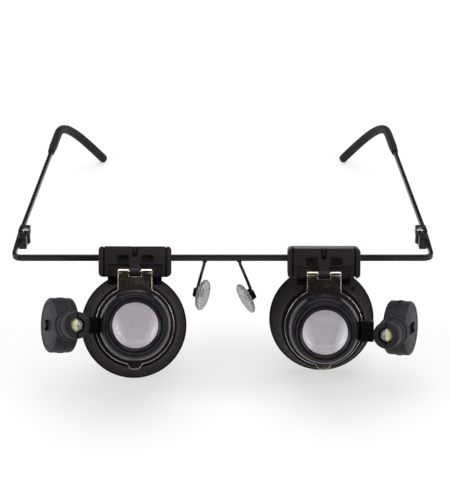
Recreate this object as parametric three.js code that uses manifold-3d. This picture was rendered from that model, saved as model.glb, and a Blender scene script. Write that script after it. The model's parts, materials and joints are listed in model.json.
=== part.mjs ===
// Spectacle-frame magnifier: a strip brow bar with folding temples carries two loupes.
// Each loupe slides and tilts on the bar, has a flip-up front barrel and a swivelling LED lamp pod.
// Millimetres, +Z up, the wearer looks along -Y, the temples run back along +Y.
import * as THREE from 'three';
import { mergeVertices } from 'three/addons/utils/BufferGeometryUtils.js';
import Module from 'manifold-3d';

const wasm = await Module();
wasm.setup();

// ---------------------------------------------------------------- driving dimensions (mm, degrees)
const GAP = 0.3;                 // clearance between separate pieces
const FINE_GAP = 0.2;            // clearance of pins, knuckles and the slide

const BAR_LENGTH = 144.4;        // outside width of the brow bar
const BAR_HEIGHT = 2.2;          // strip section, standing on edge
const BAR_THICKNESS = 1.3;
const BAR_CORNER = 3.5;          // outside radius where the bar turns back
const HINGE_BACK = 16;           // temple hinge axis behind the bar
const HINGE_INSET = 2.4;         // temple hinge axis inside the strip's middle
const KNUCKLE_RADIUS = 1.5;
const KNUCKLE_HALF_HEIGHT = BAR_HEIGHT / 2 + 1.2;
const KNUCKLE_CENTRE_HALF = 0.7;
const HINGE_SCREW_RADIUS = 0.5;
const HINGE_NECK = 1.4;          // width of the necks that carry the knuckles
const TEMPLE_LEAF_HEIGHT = 3.2;

const TEMPLE_TO_BEND = 106;      // hinge axis to the ear bend
const TEMPLE_CONVERGE = 2.2;     // the temples close in towards the ears by this angle
const TEMPLE_WIDTH = 1.4;
const TEMPLE_HEIGHT = 2.0;
const SLEEVE_BEFORE_BEND = 31;   // straight part of the soft ear tip
const SLEEVE_WIDTH = 3.2;
const SLEEVE_HEIGHT = 3.6;
const EAR_DROP = 22.8;           // ear tip end below, behind and inside the bend
const EAR_BACK = 16;
const EAR_INWARD = 14.6;
const BEND_EASE = 12;            // the bend starts this far ahead of the bend point

const REAR_LENS_RADIUS = 10;
const CUP_FACE_RADIUS = REAR_LENS_RADIUS + 4.4;  // front face of the cup
const CUP_RADIUS = CUP_FACE_RADIUS + 4;          // eyecup rim
const CUP_FRONT = -4.2;
const CUP_REAR = 14;
const CUP_WALL = 1.2;

const LOUPE_PLACE = { left: 30, right: 34.4 };  // each loupe from the middle of the bar
const LOUPE_DROP = CUP_FACE_RADIUS + 8.6;       // loupe axis below the bar
const TOE_IN = { left: 4.5, right: 1.5 };       // each loupe, with its clip, turns inward
const TILT = { left: 38, right: 29 };           // rest tilt of each loupe, front end up

const CLIP_WIDTH = 24.6;         // clip block on the bar
const CLIP_TOP = 3.65;
const CLIP_BOTTOM = -6.45;
const CLIP_FRONT = -5.2;
const CLIP_REAR = 4.5;
const FLANGE = 1.4;              // end flange thickness of the bracket
const LEDGE_HEIGHT = -2.4;       // the clip's front face steps back below this height
const LEDGE_DEPTH = 1.7;
const BUSH_LENGTH = 9;
const BUSH_RADIUS = Math.hypot(BAR_HEIGHT, BAR_THICKNESS) / 2 + 0.72;
const TONGUE_HALF_WIDTH = CLIP_WIDTH / 2 - 3.1;  // eyecup tongue clamped in the clip
const TONGUE_HALF_THICKNESS = 1.1;
const TONGUE_TOP = -2.9;
const CLIP_SCREW_X = TONGUE_HALF_WIDTH - 1.9;
const CLIP_SCREW_DROP = 4.5;
const CLIP_SCREW_RADIUS = 0.7;

const FRONT_LENS_RADIUS = 8.3;
const APERTURE_RADIUS = FRONT_LENS_RADIUS - 0.8;
const BEZEL_RADIUS = FRONT_LENS_RADIUS + 1.2;
const SPIGOT_RADIUS = FRONT_LENS_RADIUS + 2.6;   // barrel neck crimped in the hinge plate
const FLANGE_RADIUS = SPIGOT_RADIUS + 1.35;      // knurled flange of the front barrel
const BARREL_FRONT = -16.6;
const BEZEL_FRONT = -18.2;

const PLATE_FRONT = -6.1;        // nickel hinge plate
const PLATE_THICKNESS = 0.7;
const PLATE_RADIUS = FLANGE_RADIUS + 1;
const TAB_WIDTH = 11.5;
const LIP_WIDTH = 4.6;
const LIP_LENGTH = 1.5;
const HINGE_PIN_RADIUS = 0.5;
const HINGE_PIN_DROP = 5.0;      // flip-up hinge axis below the bar
const ROLL_RADIUS = 1.1;
const LUG_WIDTH = 3.5;

const CELL_RADIUS = 8;
const CELL_THICKNESS = 1.6;
const CAP_RADIUS = CELL_RADIUS - 0.6;
const CAP_THICKNESS = 1.4;
const CAP_RECESS = { length: 7.4, width: 2, bulge: 1.75, bulgeFront: 1.8, depth: 0.7 };  // finger grip
const POD_RADIUS = CELL_RADIUS + 1.3;            // lamp pod, a thick disc
const POD_THICKNESS = 7.8;
const POD_EDGE = 0.7;            // chamfer round the disc
const NUB_RADIUS = 0.8;          // moulded nubs above and below the disc
// Pod centre outward of the loupe axis and below it; the two lamps are set differently.
const POD_OFFSET = { left: FLANGE_RADIUS + 13.15, right: FLANGE_RADIUS + 14.35 };
const POD_DROP = { left: 0, right: 1.2 };
const POD_BACK = 1.0;            // pod centre behind the bar
const POD_TURN = 21;             // the lamp aims inward by this angle
const LED_RADIUS = 2.4;
const TUBE_RADIUS = LED_RADIUS + 2.1;
const TUBE_REACH = POD_RADIUS + 8.9;             // pod centre to the lamp face
const ARM_HEIGHT = 5.6;
const ARM_DEPTH = 4;
const PIVOT_FORWARD = 10;        // lamp pivot ahead of the bar
const PIVOT_RADIUS = 0.9;

const PAD_LENGTH = 12.5;
const PAD_WIDTH = 6.5;
const PAD_THICKNESS = 1.6;
const PAD_BOX = { x: 1.8, y: 2.4, z: 2.6 };
const NOSE_WIRE_RADIUS = 0.45;
// Each nose pad: where its wire leaves the bar, where its box sits, and how the pad leans and turns.
const NOSE = {
  left: { root: 6.1, out: 8.6, back: 5, drop: 16.2, lean: 10, turn: 42 },
  right: { root: 5.7, out: 9.6, back: 5, drop: 17.2, lean: 24, turn: 38 },
};

const SMALL = 12;                // facets round small, medium and large turned pieces
const MEDIUM = 20;
const LARGE = 32;

// ---------------------------------------------------------------- materials
const paint = (color, roughness, metalness, extra = {}) =>
  new THREE.MeshStandardMaterial({ color, roughness, metalness, ...extra });
const BLACK_METAL = paint(0x1c1a1b, 0.35, 0.6);
const BLACK_GLOSS = paint(0x17151a, 0.15, 0);
const BLACK_MATTE = paint(0x242226, 0.5, 0);
const SOFT_BLACK = paint(0x2a292c, 0.7, 0);
const NICKEL = paint(0xd0ccc6, 0.15, 1);
const STEEL = paint(0x9c9a98, 0.3, 1);
const GLASS = paint(0xe8e4e8, 0.05, 0, { transparent: true, opacity: 0.35 });
const SILICONE = paint(0xd8d8da, 0.3, 0, { transparent: true, opacity: 0.6 });
const PHOSPHOR = paint(0xe9e2a0, 0.3, 0);

// ---------------------------------------------------------------- solid tools
// Closed triangle list of a geometry, without doubled corners or empty triangles, faces outward.
function toSolid(geometry) {
  const bare = geometry.clone();
  bare.deleteAttribute('normal');
  bare.deleteAttribute('uv');
  const merged = mergeVertices(bare, 1e-4);
  const points = merged.attributes.position.array;
  const corners = merged.index.array;
  const kept = [];
  let volume = 0;
  const a = new THREE.Vector3();
  const b = new THREE.Vector3();
  const c = new THREE.Vector3();
  for (let i = 0; i < corners.length; i += 3) {
    const [p, q, r] = [corners[i], corners[i + 1], corners[i + 2]];
    if (p === q || q === r || r === p) continue;
    kept.push(p, q, r);
    volume += a.fromArray(points, 3 * p).dot(b.fromArray(points, 3 * q).cross(c.fromArray(points, 3 * r)));
  }
  if (volume < 0) kept.reverse();
  return new wasm.Manifold(new wasm.Mesh({
    numProp: 3, vertProperties: new Float32Array(points), triVerts: new Uint32Array(kept),
  }));
}

function toGeometry(solid) {
  const mesh = solid.getMesh();
  const geometry = new THREE.BufferGeometry();
  geometry.setAttribute('position', new THREE.BufferAttribute(mesh.vertProperties, 3));
  geometry.setIndex(new THREE.BufferAttribute(mesh.triVerts, 1));
  geometry.computeVertexNormals();
  return geometry;
}

const join = (first, ...others) =>
  toGeometry(others.reduce((sum, other) => sum.add(toSolid(other)), toSolid(first)));
const cut = (body, ...tools) =>
  toGeometry(tools.reduce((rest, tool) => rest.subtract(toSolid(tool)), toSolid(body)));
const common = (first, second) => toGeometry(toSolid(first).intersect(toSolid(second)));

// A box between two corners.
function box(low, high) {
  const size = high.map((value, i) => value - low[i]);
  const middle = high.map((value, i) => (value + low[i]) / 2);
  return new THREE.BoxGeometry(...size).translate(...middle);
}

// A round bar along x, y or z between two places on that axis, through the point `at`.
function rod(axis, radius, from, to, at = [0, 0, 0], facets = SMALL) {
  const bar = new THREE.CylinderGeometry(radius, radius, Math.abs(to - from), facets);
  if (axis === 'x') bar.rotateZ(-Math.PI / 2);
  if (axis === 'z') bar.rotateX(Math.PI / 2);
  const middle = { x: 0, y: 0, z: 0, [axis]: (from + to) / 2 };
  return bar.translate(at[0] + middle.x, at[1] + middle.y, at[2] + middle.z);
}

// A turned piece on the Y axis from a closed outline of [radius, y] corners.
function turned(outline, facets) {
  const closed = [...outline, outline[0]];
  return new THREE.LatheGeometry(closed.map(([r, y]) => new THREE.Vector2(r, y)), facets);
}

// A ring on the Y axis.
const ring = (outer, inner, from, to, facets) =>
  turned([[inner, from], [outer, from], [outer, to], [inner, to]], facets);

// A shape drawn in X-Z, pushed along Y from `from` to `to`.
function slab(shape, from, to, curveSegments = SMALL) {
  const solid = new THREE.ExtrudeGeometry(shape, { depth: to - from, bevelEnabled: false, curveSegments });
  return solid.rotateX(Math.PI / 2).translate(0, to, 0);
}

// A section carried along a curve.
function sweep(path, section, steps, curveSegments = 3) {
  return new THREE.ExtrudeGeometry(section, { steps, extrudePath: path, bevelEnabled: false, curveSegments });
}

function ellipse(halfWidth, halfHeight) {
  return new THREE.Shape().absellipse(0, 0, halfWidth, halfHeight, 0, 2 * Math.PI, false, 0);
}

// A rectangle with round corners, centred on (x, z).
function roundedRectangle(width, height, radius, x = 0, z = 0) {
  const [left, right] = [x - width / 2, x + width / 2];
  const [bottom, top] = [z - height / 2, z + height / 2];
  const shape = new THREE.Shape();
  shape.moveTo(left + radius, bottom);
  shape.lineTo(right - radius, bottom);
  shape.absarc(right - radius, bottom + radius, radius, -Math.PI / 2, 0, false);
  shape.lineTo(right, top - radius);
  shape.absarc(right - radius, top - radius, radius, 0, Math.PI / 2, false);
  shape.lineTo(left + radius, top);
  shape.absarc(left + radius, top - radius, radius, Math.PI / 2, Math.PI, false);
  shape.lineTo(left, bottom + radius);
  shape.absarc(left + radius, bottom + radius, radius, Math.PI, 1.5 * Math.PI, false);
  return shape;
}

// A lens on the Y axis: two shallow domes on a short straight edge.
function lens(radius, from, to, domeHeight) {
  const steps = 2;
  const dome = (y, direction) => Array.from({ length: steps }, (_, i) => {
    const share = (i + 1) / (steps + 1);
    return [radius * share, y + direction * domeHeight * (1 - share * share)];
  });
  const outline = [
    [0, from - domeHeight], ...dome(from, -1), [radius, from],
    [radius, to], ...dome(to, 1).reverse(), [0, to + domeHeight],
  ];
  return new THREE.LatheGeometry(outline.map(([r, y]) => new THREE.Vector2(r, y)), MEDIUM);
}

const degrees = THREE.MathUtils.degToRad;
const SIDES = [['left', -1], ['right', 1]];

function part(parent, name, geometry, material) {
  const mesh = new THREE.Mesh(geometry, material);
  mesh.name = name;
  parent.add(mesh);
  return mesh;
}

function place(parent, name, position = [0, 0, 0], rotation = [0, 0, 0]) {
  const group = new THREE.Group();
  group.name = name;
  group.position.set(...position);
  group.rotation.set(...rotation.map(degrees));
  parent.add(group);
  return group;
}

// ---------------------------------------------------------------- spectacle frame
const stripX = BAR_LENGTH / 2 - BAR_THICKNESS / 2;   // middle of the strip at the sides
const hingeX = stripX - HINGE_INSET;
const knuckleReach = KNUCKLE_RADIUS + 0.2;           // hinge leaves start clear of the knuckles
const leafLength = 3.6;

// The strip's outline seen from above: straight across, round corners, straight back to the hinges.
function barOutline() {
  const outer = BAR_LENGTH / 2;
  const inner = outer - BAR_THICKNESS;
  const [front, rear] = [-BAR_THICKNESS / 2, BAR_THICKNESS / 2];
  const end = HINGE_BACK - GAP;
  const innerCorner = BAR_CORNER - BAR_THICKNESS;
  const centre = front + BAR_CORNER;
  const shape = new THREE.Shape();
  shape.moveTo(-outer + BAR_CORNER, front);
  shape.lineTo(outer - BAR_CORNER, front);
  shape.absarc(outer - BAR_CORNER, centre, BAR_CORNER, -Math.PI / 2, 0, false);
  shape.lineTo(outer, end);
  shape.lineTo(inner, end);
  shape.absarc(outer - BAR_CORNER, centre, innerCorner, 0, -Math.PI / 2, true);
  shape.lineTo(-outer + BAR_CORNER, rear);
  shape.absarc(-outer + BAR_CORNER, centre, innerCorner, -Math.PI / 2, -Math.PI, true);
  shape.lineTo(-inner, end);
  shape.lineTo(-outer, end);
  shape.absarc(-outer + BAR_CORNER, centre, BAR_CORNER, -Math.PI, -Math.PI / 2, false);
  return shape;
}

// A box on one side of the frame, given by its distances from the middle plane.
function sideBox(side, insideX, outsideX, y0, y1, z0, z1) {
  const [low, high] = side < 0 ? [-outsideX, -insideX] : [insideX, outsideX];
  return box([low, y0, z0], [high, y1, z1]);
}

const hingeAxis = (side) => [side * hingeX, HINGE_BACK, 0];
const stripInside = stripX - BAR_THICKNESS / 2;

function browBar() {
  const strip = new THREE.ExtrudeGeometry(barOutline(), { depth: BAR_HEIGHT, bevelEnabled: false, curveSegments: 6 })
    .translate(0, 0, -BAR_HEIGHT / 2);
  const pieces = [];
  const bores = [];
  for (const [, side] of SIDES) {
    const leafEnd = HINGE_BACK - knuckleReach;
    pieces.push(sideBox(side, hingeX - HINGE_NECK / 2, stripInside + 0.2, leafEnd - leafLength, leafEnd,
      -KNUCKLE_HALF_HEIGHT, KNUCKLE_HALF_HEIGHT));
    for (const sign of [-1, 1]) {
      const inner = sign * (KNUCKLE_CENTRE_HALF + FINE_GAP);
      const outer = sign * KNUCKLE_HALF_HEIGHT;
      pieces.push(rod('z', KNUCKLE_RADIUS, inner, outer, hingeAxis(side)));
      pieces.push(sideBox(side, hingeX - HINGE_NECK / 2, hingeX + HINGE_NECK / 2, leafEnd - 0.5, HINGE_BACK - 0.5,
        Math.min(inner, outer), Math.max(inner, outer)));
    }
    bores.push(rod('z', HINGE_SCREW_RADIUS + FINE_GAP, -5, 5, hingeAxis(side)));
  }
  return cut(join(strip, ...pieces), ...bores);
}

function hingeScrew(side) {
  const [x, y] = hingeAxis(side);
  const top = KNUCKLE_HALF_HEIGHT + FINE_GAP;
  const shaft = rod('z', HINGE_SCREW_RADIUS, -KNUCKLE_HALF_HEIGHT, top + 0.3, [x, y, 0]);
  const head = rod('z', 2.2 * HINGE_SCREW_RADIUS, top, top + 0.7, [x, y, 0]);
  const slot = box([x - 2, y - 0.15, top + 0.4], [x + 2, y + 0.15, top + 2]);
  return cut(join(shaft, head), slot);
}

// Temples are drawn from their hinge axis and turned inward as a whole.
const bendStart = TEMPLE_TO_BEND - BEND_EASE;
const sleeveStart = TEMPLE_TO_BEND - SLEEVE_BEFORE_BEND;
const wireEnd = bendStart - 2;

function templeArm(side) {
  const wire = sideBox(side, HINGE_INSET - TEMPLE_WIDTH / 2, HINGE_INSET + TEMPLE_WIDTH / 2, GAP, wireEnd,
    -TEMPLE_HEIGHT / 2, TEMPLE_HEIGHT / 2);
  const leaf = sideBox(side, -HINGE_NECK / 2, HINGE_INSET, knuckleReach, knuckleReach + leafLength,
    -TEMPLE_LEAF_HEIGHT / 2, TEMPLE_LEAF_HEIGHT / 2);
  const neck = sideBox(side, -HINGE_NECK / 2, HINGE_NECK / 2, 0.5, knuckleReach + 0.5,
    -KNUCKLE_CENTRE_HALF, KNUCKLE_CENTRE_HALF);
  const knuckle = rod('z', KNUCKLE_RADIUS, -KNUCKLE_CENTRE_HALF, KNUCKLE_CENTRE_HALF);
  const bore = rod('z', HINGE_SCREW_RADIUS + FINE_GAP, -5, 5);
  return cut(join(wire, leaf, neck, knuckle), bore);
}

const earEnd = (side) => [side * (HINGE_INSET - EAR_INWARD), TEMPLE_TO_BEND + EAR_BACK, -EAR_DROP];

function earPath(side) {
  const x = side * HINGE_INSET;
  const path = new THREE.CurvePath();
  const bend = new THREE.Vector3(x, bendStart, 0);
  path.add(new THREE.LineCurve3(new THREE.Vector3(x, sleeveStart, 0), bend));
  path.add(new THREE.CubicBezierCurve3(
    bend,
    new THREE.Vector3(x, TEMPLE_TO_BEND + 0.2 * EAR_BACK, 0),
    new THREE.Vector3(x - side * 0.45 * EAR_INWARD, TEMPLE_TO_BEND + 0.45 * EAR_BACK, -0.4 * EAR_DROP),
    new THREE.Vector3(...earEnd(side)),
  ));
  return path;
}

function earTip(side) {
  const section = ellipse(SLEEVE_HEIGHT / 2, SLEEVE_WIDTH / 2);
  const tube = sweep(earPath(side), section, 18, 4);
  const end = new THREE.SphereGeometry(SLEEVE_WIDTH / 2, 10, 8).translate(...earEnd(side));
  const halfWidth = TEMPLE_WIDTH / 2 + FINE_GAP;
  const halfHeight = TEMPLE_HEIGHT / 2 + FINE_GAP;
  const hole = sideBox(side, HINGE_INSET - halfWidth, HINGE_INSET + halfWidth, sleeveStart - 1, wireEnd + GAP,
    -halfHeight, halfHeight);
  return cut(join(tube, end), hole);
}

// ---------------------------------------------------------------- nose pads
function noseWire(side, nose) {
  const top = -BAR_HEIGHT / 2 - FINE_GAP;
  const padTop = -nose.drop + PAD_BOX.z / 2 + FINE_GAP;
  const path = new THREE.CatmullRomCurve3([
    new THREE.Vector3(side * nose.root, 0, top),
    new THREE.Vector3(side * nose.root, 0.1 * nose.back, top - 2),
    new THREE.Vector3(side * (nose.root + 0.15), 0.8 * nose.back, 0.45 * padTop + 0.55 * top),
    new THREE.Vector3(side * nose.out, nose.back, padTop + 2),
    new THREE.Vector3(side * nose.out, nose.back, padTop),
  ]);
  return sweep(path, ellipse(NOSE_WIRE_RADIUS, NOSE_WIRE_RADIUS), 18, 3);
}

function padBox() {
  const half = [PAD_BOX.x / 2, PAD_BOX.y / 2, PAD_BOX.z / 2];
  return box(half.map((value) => -value), half);
}

// The pad stands on the inner side of its box; X is the pad's thickness, towards the nose.
function nosePad(side) {
  const inner = PAD_BOX.x / 2 + 0.4;
  const outline = ellipse(PAD_WIDTH / 2, PAD_LENGTH / 2);
  const bevel = 0.35 * PAD_THICKNESS;
  const pad = new THREE.ExtrudeGeometry(outline, {
    depth: PAD_THICKNESS - 2 * bevel, curveSegments: 7,
    bevelEnabled: true, bevelSize: -bevel, bevelOffset: 0, bevelThickness: bevel, bevelSegments: 2,
  });
  const turn = new THREE.Matrix4().set(0, 0, 1, 0, 1, 0, 0, 0, 0, 1, 0, 0, 0, 0, 0, 1);
  pad.applyMatrix4(turn).translate(inner + bevel, 0, 0);
  if (side > 0) pad.applyMatrix4(new THREE.Matrix4().makeScale(-1, 1, 1));
  return join(pad);
}

// ---------------------------------------------------------------- clip on the bar
// A clip sits askew on the bar, so its bores are wider.
const toeSlope = Math.tan(degrees(Math.max(TOE_IN.left, TOE_IN.right)));
const barBore = Math.hypot(BAR_HEIGHT, BAR_THICKNESS) / 2 + GAP + toeSlope * CLIP_WIDTH / 2;
const bushBore = BUSH_RADIUS + GAP + toeSlope * BUSH_LENGTH / 2;
const clipMiddle = (CLIP_TOP + CLIP_BOTTOM) / 2;
const clipHeight = CLIP_TOP - CLIP_BOTTOM;
const parting = 0.15;                                 // half the gap between bracket and jaw

function bush() {
  const body = rod('x', BUSH_RADIUS, -BUSH_LENGTH / 2, BUSH_LENGTH / 2);
  const slot = [BUSH_LENGTH, BAR_THICKNESS / 2 + FINE_GAP, BAR_HEIGHT / 2 + FINE_GAP];
  return cut(body, box(slot.map((value) => -value), slot));
}

// Bores for the bar and the bush, the pocket for the eyecup's tongue and the two screw holes.
function clipHollows() {
  const far = CLIP_WIDTH;
  const bushRoom = BUSH_LENGTH / 2 + GAP;
  const pocket = box(
    [-TONGUE_HALF_WIDTH - GAP, -TONGUE_HALF_THICKNESS - GAP, CLIP_BOTTOM - 1],
    [TONGUE_HALF_WIDTH + GAP, TONGUE_HALF_THICKNESS + GAP, TONGUE_TOP + GAP]);
  const screws = [-1, 1].map((sign) => rod('y', CLIP_SCREW_RADIUS + FINE_GAP, CLIP_FRONT + LEDGE_DEPTH + 0.8,
    CLIP_REAR + 1, [sign * CLIP_SCREW_X, 0, -CLIP_SCREW_DROP]));
  const heads = [-1, 1].map((sign) => rod('y', 2 * CLIP_SCREW_RADIUS + FINE_GAP, CLIP_REAR - 1.2,
    CLIP_REAR + 1, [sign * CLIP_SCREW_X, 0, -CLIP_SCREW_DROP]));
  return [rod('x', barBore, -far, far), rod('x', bushBore, -bushRoom, bushRoom), pocket, ...screws, ...heads];
}

function clipBracket() {
  const rear = slab(roundedRectangle(CLIP_WIDTH, clipHeight, 1.3, 0, clipMiddle), parting, CLIP_REAR, 5);
  const flanges = [-1, 1].map((sign) => {
    const inside = CLIP_WIDTH / 2 - FLANGE;
    const side = slab(roundedRectangle(CLIP_WIDTH, clipHeight, 1.3, 0, clipMiddle), CLIP_FRONT + 0.3, parting + 1, 5);
    return common(side, sideBox(sign, inside, CLIP_WIDTH, CLIP_FRONT - 1, CLIP_REAR, -20, 20));
  });
  return cut(join(rear, ...flanges), ...clipHollows());
}

function clipJaw() {
  const half = CLIP_WIDTH / 2 - FLANGE - GAP;
  const ledge = CLIP_FRONT + LEDGE_DEPTH;
  const upper = slab(roundedRectangle(2 * half, CLIP_TOP - LEDGE_HEIGHT, 0.5, 0, (CLIP_TOP + LEDGE_HEIGHT) / 2),
    CLIP_FRONT, -parting, 3);
  const lower = box([-half, ledge, CLIP_BOTTOM], [half, -parting, LEDGE_HEIGHT + 0.6]);
  const ribs = [-1, 1].map((sign) => sideBox(sign, half - 1.1, half, CLIP_FRONT + 0.5, -parting,
    CLIP_BOTTOM, LEDGE_HEIGHT + 0.6));
  const lug = join(
    rod('x', ROLL_RADIUS + 0.1, -LUG_WIDTH / 2, LUG_WIDTH / 2, [0, pinY, -HINGE_PIN_DROP]),
    box([-LUG_WIDTH / 2, pinY, -HINGE_PIN_DROP - ROLL_RADIUS], [LUG_WIDTH / 2, ledge + 0.5, LEDGE_HEIGHT]));
  const rollRoom = rod('x', ROLL_RADIUS + GAP, -TAB_WIDTH / 2 - GAP, TAB_WIDTH / 2 + GAP,
    [0, pinY, -HINGE_PIN_DROP], SMALL);
  const pinBore = rod('x', HINGE_PIN_RADIUS + FINE_GAP, -half, half, [0, pinY, -HINGE_PIN_DROP]);
  const groove = box([-0.95, CLIP_FRONT - 1, 0.9], [0.95, CLIP_FRONT + 0.9, CLIP_TOP + 1]);
  const grooveRib = box([-0.3, CLIP_FRONT + 0.2, 0.8], [0.3, CLIP_FRONT + 1, CLIP_TOP - 0.2]);
  const recesses = [-4, 4].map((x) => rod('y', 1.5, CLIP_FRONT - 1, CLIP_FRONT + 1.1, [x, 0, -0.6], 6));
  const shell = cut(join(upper, lower, ...ribs), rollRoom, groove);
  return cut(join(shell, lug, grooveRib), pinBore, ...recesses, ...clipHollows());
}

function clipScrew(sign) {
  const at = [sign * CLIP_SCREW_X, 0, -CLIP_SCREW_DROP];
  const shaft = rod('y', CLIP_SCREW_RADIUS, CLIP_FRONT + LEDGE_DEPTH + 0.8 + GAP, CLIP_REAR - 0.6, at);
  const head = rod('y', 2 * CLIP_SCREW_RADIUS, CLIP_REAR - 1, CLIP_REAR - 0.2, at);
  const slot = box([at[0] - 2, CLIP_REAR - 0.5, at[2] - 0.2], [at[0] + 2, CLIP_REAR + 1, at[2] + 0.2]);
  return cut(join(shaft, head), slot);
}

// ---------------------------------------------------------------- eyecup with the rear lens
const lensSeatFront = CUP_FRONT + 1.8;                // inside of the cup's front wall
const ringFront = lensSeatFront + 2.3;                // the ring that holds the rear lens
const ringRear = ringFront + 1.1;
const collar = ringRear + 0.4;                        // the lens seat's wall ends just behind the ring
const seatOutside = REAR_LENS_RADIUS + 1.7;
const seatLip = REAR_LENS_RADIUS - 0.7;

function eyecup() {
  const steps = 4;
  const share = (i) => i / steps;
  const flareStart = CUP_FRONT + 1.2;
  const outerFlare = Array.from({ length: steps + 1 }, (_, i) => [
    CUP_FACE_RADIUS + 0.2 + (CUP_RADIUS - CUP_FACE_RADIUS - 0.4) * share(i) ** 1.5,
    flareStart + (CUP_REAR - 0.8 - flareStart) * share(i),
  ]);
  const innerFlare = outerFlare.slice(1).reverse().map(([r, y]) => [r - CUP_WALL, y]);
  const outline = [
    [seatLip, CUP_FRONT], [CUP_FACE_RADIUS - 0.8, CUP_FRONT],
    ...outerFlare, [CUP_RADIUS, CUP_REAR - 0.4], [CUP_RADIUS - 0.3, CUP_REAR], [CUP_RADIUS - 1.1, CUP_REAR],
    ...innerFlare, [CUP_FACE_RADIUS - 1.2, lensSeatFront + 0.4],
    [seatOutside, lensSeatFront + 0.4], [seatOutside, collar],
    [REAR_LENS_RADIUS + GAP, collar], [REAR_LENS_RADIUS + GAP, lensSeatFront], [seatLip, lensSeatFront],
  ];
  return turned(outline, LARGE);
}

// The tongue stands on the cup and is clamped in the clip.
function eyecupWithTongue() {
  const cup = eyecup().translate(0, 0, -LOUPE_DROP);
  const tongue = box([-TONGUE_HALF_WIDTH, -TONGUE_HALF_THICKNESS, -LOUPE_DROP + CUP_FACE_RADIUS - 0.6],
    [TONGUE_HALF_WIDTH, TONGUE_HALF_THICKNESS, TONGUE_TOP]);
  const holes = [-1, 1].map((sign) => rod('y', CLIP_SCREW_RADIUS + FINE_GAP, -3, 3,
    [sign * CLIP_SCREW_X, 0, -CLIP_SCREW_DROP]));
  return cut(join(cup, tongue), ...holes);
}

// ---------------------------------------------------------------- flip-up front
const pinY = PLATE_FRONT + PLATE_THICKNESS / 2;       // hinge axis in the plate's middle
const plateRear = PLATE_FRONT + PLATE_THICKNESS;
const rollWidth = (TAB_WIDTH - LUG_WIDTH) / 2 - GAP;

function hingePlate() {
  const plate = new THREE.Shape();
  const tabAngle = Math.acos(TAB_WIDTH / 2 / PLATE_RADIUS);
  const lipAngle = Math.acos(LIP_WIDTH / 2 / PLATE_RADIUS);
  const tabTop = LOUPE_DROP - HINGE_PIN_DROP;
  plate.absarc(0, 0, PLATE_RADIUS, Math.PI - tabAngle, Math.PI + lipAngle, false);
  plate.quadraticCurveTo(-LIP_WIDTH / 3, -PLATE_RADIUS - LIP_LENGTH, 0, -PLATE_RADIUS - LIP_LENGTH);
  plate.quadraticCurveTo(LIP_WIDTH / 3, -PLATE_RADIUS - LIP_LENGTH, LIP_WIDTH / 2,
    -PLATE_RADIUS * Math.sin(lipAngle));
  plate.absarc(0, 0, PLATE_RADIUS, -lipAngle, tabAngle, false);
  plate.lineTo(TAB_WIDTH / 2, tabTop);
  plate.lineTo(-TAB_WIDTH / 2, tabTop);
  const hole = new THREE.Path().absarc(0, 0, SPIGOT_RADIUS + FINE_GAP, 0, 2 * Math.PI, true);
  plate.holes.push(hole);
  const flat = slab(plate, PLATE_FRONT, plateRear, 15).translate(0, 0, -LOUPE_DROP);
  const notchHalf = LUG_WIDTH / 2 + GAP;
  const notch = box([-notchHalf, -20, -HINGE_PIN_DROP - ROLL_RADIUS - 0.5], [notchHalf, 20, 0]);
  const rolls = [-1, 1].map((sign) => {
    const inside = sign * notchHalf;
    return rod('x', ROLL_RADIUS, inside, inside + sign * rollWidth, [0, pinY, -HINGE_PIN_DROP]);
  });
  const bore = rod('x', HINGE_PIN_RADIUS + FINE_GAP, -TAB_WIDTH, TAB_WIDTH, [0, pinY, -HINGE_PIN_DROP]);
  return cut(join(cut(flat, notch), ...rolls), bore);
}

const hingePin = () => rod('x', HINGE_PIN_RADIUS, -TAB_WIDTH / 2 - 0.1, TAB_WIDTH / 2 + 0.1,
  [0, pinY, -HINGE_PIN_DROP]);

const barrelRear = PLATE_FRONT - GAP;
const retainerFront = plateRear + GAP;
const frontLensRear = BARREL_FRONT + 4.2;

function frontBarrel() {
  const outline = [
    [APERTURE_RADIUS + 0.3, CUP_FRONT - GAP], [SPIGOT_RADIUS, CUP_FRONT - GAP], [SPIGOT_RADIUS, barrelRear],
    [FLANGE_RADIUS, barrelRear], [FLANGE_RADIUS, barrelRear - 1.3],
    [FLANGE_RADIUS - 0.5, barrelRear - 2.0], [FLANGE_RADIUS - 1.3, barrelRear - 4.5],
    [FLANGE_RADIUS - 2.0, barrelRear - 6.6], [BEZEL_RADIUS + 0.3, BARREL_FRONT + 1.4], [BEZEL_RADIUS, BARREL_FRONT],
    [FRONT_LENS_RADIUS + GAP, BARREL_FRONT],
    [FRONT_LENS_RADIUS + GAP, frontLensRear], [APERTURE_RADIUS + 0.3, frontLensRear],
  ];
  return join(turned(outline, LARGE).translate(0, 0, -LOUPE_DROP));
}

const atLoupe = (geometry) => join(geometry.translate(0, 0, -LOUPE_DROP));

// ---------------------------------------------------------------- lamp
const pivotOut = (word) => POD_OFFSET[word] - (POD_BACK + PIVOT_FORWARD) * Math.tan(degrees(POD_TURN));
const wallAtPivot = TUBE_RADIUS / Math.cos(degrees(POD_TURN));
const barrelAtArm = FLANGE_RADIUS;

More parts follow.
